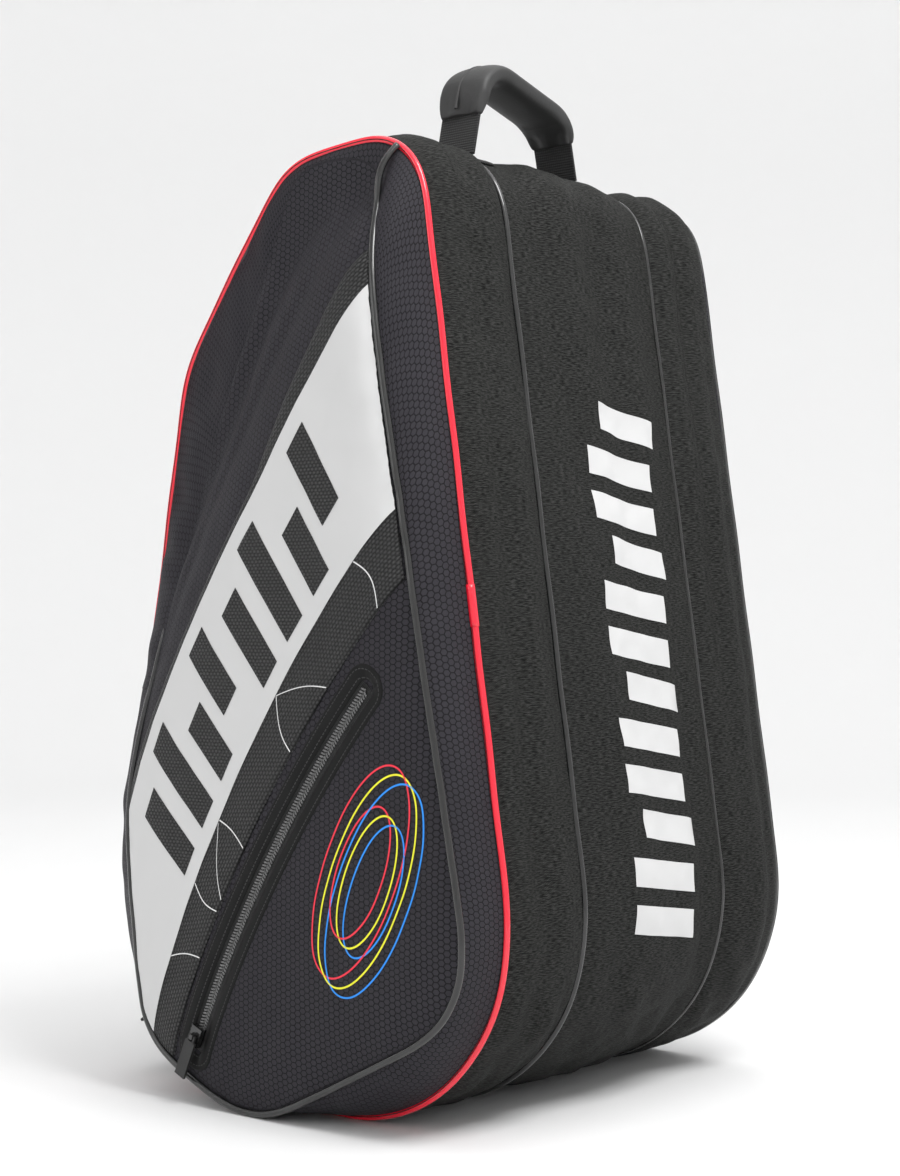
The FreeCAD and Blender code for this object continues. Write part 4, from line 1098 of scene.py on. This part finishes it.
SIDE_BAR_TOP, SIDE_BAR_PITCH, SIDE_BAR_HALF, SIDE_BAR_LEAN = 418.0, 27.5, 8.5, 9
for number in range(12):
    low = SIDE_BAR_TOP - SIDE_BAR_PITCH * number - SIDE_BAR_HALF
    high = low + 2 * SIDE_BAR_HALF
    near, far = ((-20, 44) if number % 3 else (-6, 50))
    near, far = near - 0.5 * number, far - 0.5 * number
    side_patch(f"side_bar_{number + 1}", (near, low), (far, low - SIDE_BAR_LEAN),
               (far, high - SIDE_BAR_LEAN), (near, high))


# ---------------------------------------------------------------- handle

HANDLE_X = middle_of("handle_webbing").x
WEB_HALF = (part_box("handle_webbing")[1][0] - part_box("handle_webbing")[0][0]) / 2
HANDLE_PIVOT = np.array(JOINTS["handle_swing"]["pos_m"])
SEAT = HANDLE_PIVOT[2]


def handle_line():
    """Centre line of the handle's loop from its front foot over to its rear foot."""
    corners = hull(corners_of("handle_webbing")[:, [1, 2]])
    low = corners[:, 1].min()
    front = np.argmin(corners[:, 0] + (corners[:, 1] > low + 12 * MM) * 1.0)
    ordered = np.roll(corners, -front, axis=0)
    rear = np.argmax(ordered[:, 0] - (ordered[:, 1] > low + 12 * MM) * 1.0)
    loop = np.vstack([ordered[rear:], ordered[:1]])[::-1]
    steps = distances_along(loop)
    even = np.linspace(0, steps[-1], 161)
    line = np.stack([np.interp(even, steps, loop[:, axis]) for axis in (0, 1)], axis=1)
    smooth_inside(line, 10)
    return line, steps[-1] / 160


LINE, LINE_STEP = handle_line()
tangent = directions(LINE, closed=False)
LINE_OUT = stack(-tangent[:, 1], tangent[:, 0])
if LINE_OUT[len(LINE) // 2][1] < 0:
    LINE_OUT = -LINE_OUT
RUN = np.arange(len(LINE)) * LINE_STEP
SLEEVE_START = 26 * MM


def handle_sweep(name, first, last, half_width, half_height, sides, shape, wrinkle, centre_shift):
    """Sweep an oval along the handle's line; shape makes it squarer, wrinkle gathers its ends."""
    fine = np.linspace(first, last, 200)
    middle_y = np.interp(fine, RUN, LINE[:, 0])
    middle_z = np.interp(fine, RUN, LINE[:, 1])
    out_y = np.interp(fine, RUN, LINE_OUT[:, 0])
    out_z = np.interp(fine, RUN, LINE_OUT[:, 1])
    turns = np.linspace(0, 2 * math.pi, sides, endpoint=False)
    across = np.sign(np.cos(turns)) * np.abs(np.cos(turns)) ** shape
    rise = np.sign(np.sin(turns)) * np.abs(np.sin(turns)) ** shape
    share = (fine - first) / (last - first)
    ends = np.minimum(share, 1 - share) * (last - first)
    width = half_width(ends)[:, None]
    height = half_height(ends)[:, None]
    run, corner = np.meshgrid(fine, turns, indexing="ij")
    gather = wrinkle * np.exp(-(ends / (16 * MM)) ** 2)[:, None]
    folds = gather * (np.sin(corner * 7 + run * 90) + 0.6 * np.sin(corner * 4 - run * 260))
    level = centre_shift + rise[None] * height + folds * np.sin(turns)[None]
    x = HANDLE_X + across[None] * (width + folds * 0.6)
    y = middle_y[:, None] + out_y[:, None] * level
    z = middle_z[:, None] + out_z[:, None] * level
    vertices = stack(x, y, z).reshape(-1, 3)
    uvs = stack(run.ravel(), (x - HANDLE_X).ravel())
    return make_object(name, vertices, tube_faces(len(fine), sides), uvs)


half_way = len(LINE) // 2
foot_level = SEAT - 0.8 * MM
front_foot = np.interp(foot_level, LINE[:half_way, 1], RUN[:half_way])
rear_foot = np.interp(foot_level, LINE[:half_way - 1:-1, 1], RUN[:half_way - 1:-1])
strip = handle_sweep("handle_strap", front_foot, rear_foot, lambda e: np.full_like(e, WEB_HALF),
                     lambda e: np.full_like(e, 1.2 * MM), 28, 0.35, 0.0, -1.2 * MM)
dress(strip, "webbing", "handle_webbing", body=None)
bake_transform(strip)
sleeve = handle_sweep(
    "handle_sleeve_cloth", SLEEVE_START, RUN[-1] - SLEEVE_START + 2 * MM,
    lambda e: WEB_HALF + 0.4 * MM + 3.2 * MM * np.clip(e / (14 * MM), 0, 1) ** 0.6,
    lambda e: 2.6 * MM + 4.2 * MM * np.clip(e / (20 * MM), 0, 1) ** 0.6,
    56, 0.72, 0.7 * MM, -1.2 * MM)
dress(sleeve, "sleeve", "handle_sleeve", body="handle")
seam_run = np.linspace(SLEEVE_START + 3 * MM, RUN[-1] - SLEEVE_START - 2 * MM, 160)
seam = stack(np.full_like(seam_run, HANDLE_X),
                 np.interp(seam_run, RUN, LINE[:, 0] + LINE_OUT[:, 0] * 5.3 * MM),
                 np.interp(seam_run, RUN, LINE[:, 1] + LINE_OUT[:, 1] * 5.3 * MM))
dress(tube("handle_seam", seam, 0.9 * MM, closed=False, sides=10), "stitch", body="handle")


def top_height(x):
    """Height of the bag's top at a place across it."""
    top = BAG.points[BAG.normals[:, 1] > 0.5]
    order = np.argsort(top[:, 0])
    return np.interp(x, top[order, 0], top[order, 1])


def on_patch(u, v, rise):
    """A place above the handle's sewn patches."""
    return stack(u, v, top_height(u) + 2.1 * MM + rise)


for end in ("front", "rear"):
    low, high = (Vector(corner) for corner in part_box(f"handle_{end}_anchor"))
    x, y = np.meshgrid(np.linspace(low.x, high.x, 24), np.linspace(low.y, high.y, 20), indexing="ij")
    ground = top_height(x)
    edge = np.minimum(np.minimum(x - low.x, high.x - x), np.minimum(y - low.y, high.y - y))
    z = ground + 0.6 * MM + 1.4 * MM * np.clip(edge / (3 * MM), 0, 1) ** 0.5
    patch = grid_object(f"handle_{end}_patch", stack(x, y, z), stack(y, x))
    dress(thicken(patch, 1.2 * MM), "webbing", f"handle_{end}_anchor")
    rows = np.linspace(0, 1, 30)
    margin = 3 * MM
    left, right = low.x + margin, high.x - margin
    ahead, behind = low.y + margin, high.y - margin
    for number, (start_y, end_y) in enumerate(((ahead, behind), (behind, ahead))):
        path = stack(left + (right - left) * rows, start_y + (end_y - start_y) * rows)
        stitches(f"handle_{end}_stitching_{number + 1}", path, 2.6 * MM, on_patch)


# ---------------------------------------------------------------- back pad and straps

# the -X wall's own frame: its foot at a hinge, up the wall and out from it
SIDE_FOOT = np.array(JOINTS["front_flap_open"]["pos_m"]) * np.array([1, 0, 1])
UP = np.array(SIDE_UP)
OUT = np.array([-SIDE_UP.z, 0, SIDE_UP.x])
OUT = OUT if OUT[0] < 0 else -OUT


def side_range(node):
    """A node's extent in the -X wall's own frame: up the wall, across in depth, and out from it."""
    corners = corners_of(node) - SIDE_FOOT
    up, out = corners @ UP, corners @ OUT
    return (up.min(), up.max()), (corners[:, 1].min(), corners[:, 1].max()), (out.min(), out.max())


def on_side(up, y, out):
    """A place in the -X wall's own frame."""
    flat = SIDE_FOOT + UP * np.asarray(up)[..., None] + OUT * np.asarray(out)[..., None]
    return stack(flat[..., 0], y, flat[..., 2])


def cushion(name, node, slot, body, quilt=0.0, edge=9 * MM, seed=5, margin=0.0):
    """A padded slab sewn round its edge: crowned outer face, flatter inner face."""
    (up0, up1), (y0, y1), (out0, out1) = side_range(node)
    rows, columns = 140, 46
    shape = np.linspace(-1, 1, rows)
    width = np.linspace(-1, 1, columns)
    u, v = np.meshgrid(np.sign(shape) * np.abs(shape) ** 0.8, np.sign(width) * np.abs(width) ** 0.8,
                       indexing="ij")
    radius = 16 * MM
    half_up, half_y = (up1 - up0) / 2 - margin, (y1 - y0) / 2 - margin
    p, q = np.abs(u) * half_up, np.abs(v) * half_y
    over = np.hypot(np.maximum(p - half_up + radius, 0), np.maximum(q - half_y + radius, 0))
    shrink = np.where(over > 1e-9, np.minimum(1, radius / np.maximum(over, 1e-9)), 1)
    corner = (p > half_up - radius) & (q > half_y - radius)
    p = np.where(corner, half_up - radius + (p - half_up + radius) * shrink, p)
    q = np.where(corner, half_y - radius + (q - half_y + radius) * shrink, q)
    inward = np.minimum(half_up - p, half_y - q)
    corner_gap = radius - np.hypot(np.maximum(p - half_up + radius, 0), np.maximum(q - half_y + radius, 0))
    inward = np.where(corner, np.minimum(inward, corner_gap), inward)
    swell = np.sqrt(np.clip(1 - (1 - np.clip(inward / edge, 0, 1)) ** 2, 0, 1))
    up = (up0 + up1) / 2 + np.sign(u) * p
    y = (y0 + y1) / 2 + np.sign(v) * q
    middle = out0 + (out1 - out0) * 0.35
    front = middle + (out1 - middle) * (0.12 + 0.88 * swell)
    waves = 0.35 * MM * ripple(up, y, 0.05, seed) * swell
    if quilt:
        lines = np.minimum(np.abs((up - up0) % quilt - quilt / 2), 6 * MM) / (6 * MM)
        front = front - (1 - lines) ** 2 * 1.6 * MM * swell
    front = front + waves - 0.35 * MM
    back = middle - (middle - out0) * (0.12 + 0.88 * swell)
    grids = [on_side(up, y, front), on_side(up, y, back)]
    vertices = np.concatenate([grid.reshape(-1, 3) for grid in grids])
    faces = grid_faces(rows, columns)
    lower = rows * columns
    faces += [tuple(lower + i for i in reversed(face)) for face in grid_faces(rows, columns)]
    border = [(r, 0) for r in range(rows)] + [(rows - 1, c) for c in range(1, columns)]
    border += [(r, columns - 1) for r in range(rows - 2, -1, -1)]
    border += [(0, c) for c in range(columns - 2, 0, -1)]
    for (r0, c0), (r1, c1) in zip(border, border[1:] + border[:1]):
        first, second = r0 * columns + c0, r1 * columns + c1
        faces.append((first, second, lower + second, lower + first))
    cloth = stack(up, y).reshape(-1, 2)
    item = make_object(name, vertices, faces, np.concatenate([cloth, cloth]))
    dress(item, slot, node, body=body)
    trim = np.array([on_side(up[r, c], y[r, c], middle) for r, c in border])
    dress(tube(f"{name}_binding", trim, 1.1 * MM, sides=10), "webbing", body=body)


cushion("back_pad_cushion", "back_pad", "air_mesh", "bag", quilt=42 * MM)
cushion("strap_patch_cushion", "strap_anchor_patch", "sleeve", "bag", edge=4 * MM, seed=6)
for strap in ("strap_front", "strap_rear"):
    cushion(f"{strap}_cushion", f"{strap}_pad", "air_mesh", strap, seed=7, margin=1.1 * MM)


def flat_web(node, body):
    """A flat strap of webbing along the two longest directions of its node."""
    corners = corners_of(node)
    centre = corners.mean(0)
    axes = np.linalg.svd(corners - centre, full_matrices=False)[2]
    reach = np.array([np.abs((corners - centre) @ axis).max() for axis in axes])
    longest, widest = np.argsort(reach)[::-1][:2]
    length, width = 2 * reach[longest], 2 * reach[widest] - 0.3 * MM
    share, side = np.meshgrid(np.linspace(0, 1, 60), np.linspace(-0.5, 0.5, 9), indexing="ij")
    start = centre - axes[longest] * reach[longest]
    points = start + (axes[longest] * length) * share[..., None] + axes[widest] * (side * width)[..., None]
    item = grid_object(f"{node}_cloth", points, stack(share * length, side * width))
    dress(thicken(item, 1.6 * MM, offset=0), "webbing", node, body=body)


for side in ("front", "rear"):
    flat_web(f"strap_{side}_webbing", f"strap_{side}_tail")
    flat_web(f"strap_{side}_tab", "bag")


# ---------------------------------------------------------------- side zips

for name, mouth in MOUTHS.items():
    length = mouth.high - mouth.low

    def on_mouth(along, offset, rise, mouth=mouth):
        flat = np.asarray(along)[..., None] * mouth.along + np.asarray(offset)[..., None] * mouth.across
        return (mouth.hinge + mouth.along * mouth.low + mouth.across * (mouth.width + SLOT_WIDTH / 2)
                + flat + mouth.out * (np.asarray(rise)[..., None] - 1.3 * MM))

    coil_rows(f"{name}_coil_flap", on_mouth, length, f"{name}_flap", f"{name}_flap_zip", halves=(-1,))
    coil_rows(f"{name}_coil_bag", on_mouth, length, "bag", f"{name}_zip", halves=(1,))
    for half, body, inner, outer in (("flap", f"{name}_flap", -SLOT_WIDTH / 2 - 3 * MM, -0.3 * MM),
                                     ("bag", "bag", 0.3 * MM, SLOT_WIDTH / 2 + 3 * MM)):
        along, offset = np.meshgrid(np.linspace(0, length, 60), np.linspace(inner, outer, 5), indexing="ij")
        tape = grid_object(f"{name}_tape_{half}", on_mouth(along, offset, -0.9 * MM + 0 * along),
                           stack(along, offset))
        dress(thicken(tape, 0.6 * MM, offset=0), "tape", body=body)

BARE_PARTS = {"strap_front_lock": "buckle", "strap_rear_lock": "buckle", "base_board": "board"}
for name in ("front", "main", "rear", "pocket"):
    BARE_PARTS[f"{name}_slider"] = "enamel"
    BARE_PARTS[f"{name}_pull"] = "moulded"
for node, slot in BARE_PARTS.items():
    NODES[node].data.materials.clear()
    NODES[node].data.materials.append(MATERIALS[slot])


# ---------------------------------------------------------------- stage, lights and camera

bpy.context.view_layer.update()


def backdrop():
    """A pale round floor that curves up all round the bag."""
    floor, bend = 2.4, 1.4
    profile = [(0.01, 0.0), (1.0, 0.0), (floor, 0.0)]
    profile += [(floor + bend * math.sin(turn), bend - bend * math.cos(turn))
                for turn in np.linspace(0.1, math.pi / 2, 16)]
    profile += [(floor + bend, 5.0)]
    turns = np.linspace(0, 2 * math.pi, 97)
    points = np.array([stack(radius * np.cos(turns), radius * np.sin(turns), height)
                       for radius, height in profile])
    item = grid_object("backdrop", points, points[..., :2])
    item.data.materials.append(plain("pale_paper", 0.82, 0.9, specular=0.1))


backdrop()


def soft_light(name, place, target, size, power):
    """A square softbox."""
    light = bpy.data.lights.new(name, "AREA")
    light.shape = "RECTANGLE"
    light.size, light.size_y, light.energy = size, size, power
    item = bpy.data.objects.new(name, light)
    bpy.context.scene.collection.objects.link(item)
    item.location = place
    item.rotation_euler = (Vector(target) - Vector(place)).to_track_quat("-Z", "Y").to_euler()


soft_light("sky", (0.4, 0.4, 4.0), (0.4, 0.4, 0), 6.0, 172)
soft_light("key", (0.95, -0.2, 1.5), (0.1, 0, 0.5), 0.6, 17)
soft_light("fill", (-0.6, -2.4, 1.2), (0, 0, 0.3), 1.2, 9)

world = bpy.data.worlds.new("studio")
world.use_nodes = True
background = world.node_tree.nodes["Background"]
background.inputs["Color"].default_value = (0.93, 0.94, 0.95, 1)
background.inputs["Strength"].default_value = 0.12
bpy.context.scene.world = world
bpy.context.scene.view_settings.view_transform = "Standard"

camera = bpy.data.cameras.new("camera")
camera.sensor_fit = "VERTICAL"
camera.sensor_height = 36
camera.lens = 64.9
camera.shift_y = 0.0315
seat = bpy.data.objects.new("camera", camera)
bpy.context.scene.collection.objects.link(seat)
seat.location = (0.8851, -1.0588, 0.290)
seat.rotation_euler = (math.pi / 2, 0, math.radians(40))
bpy.context.scene.camera = seat
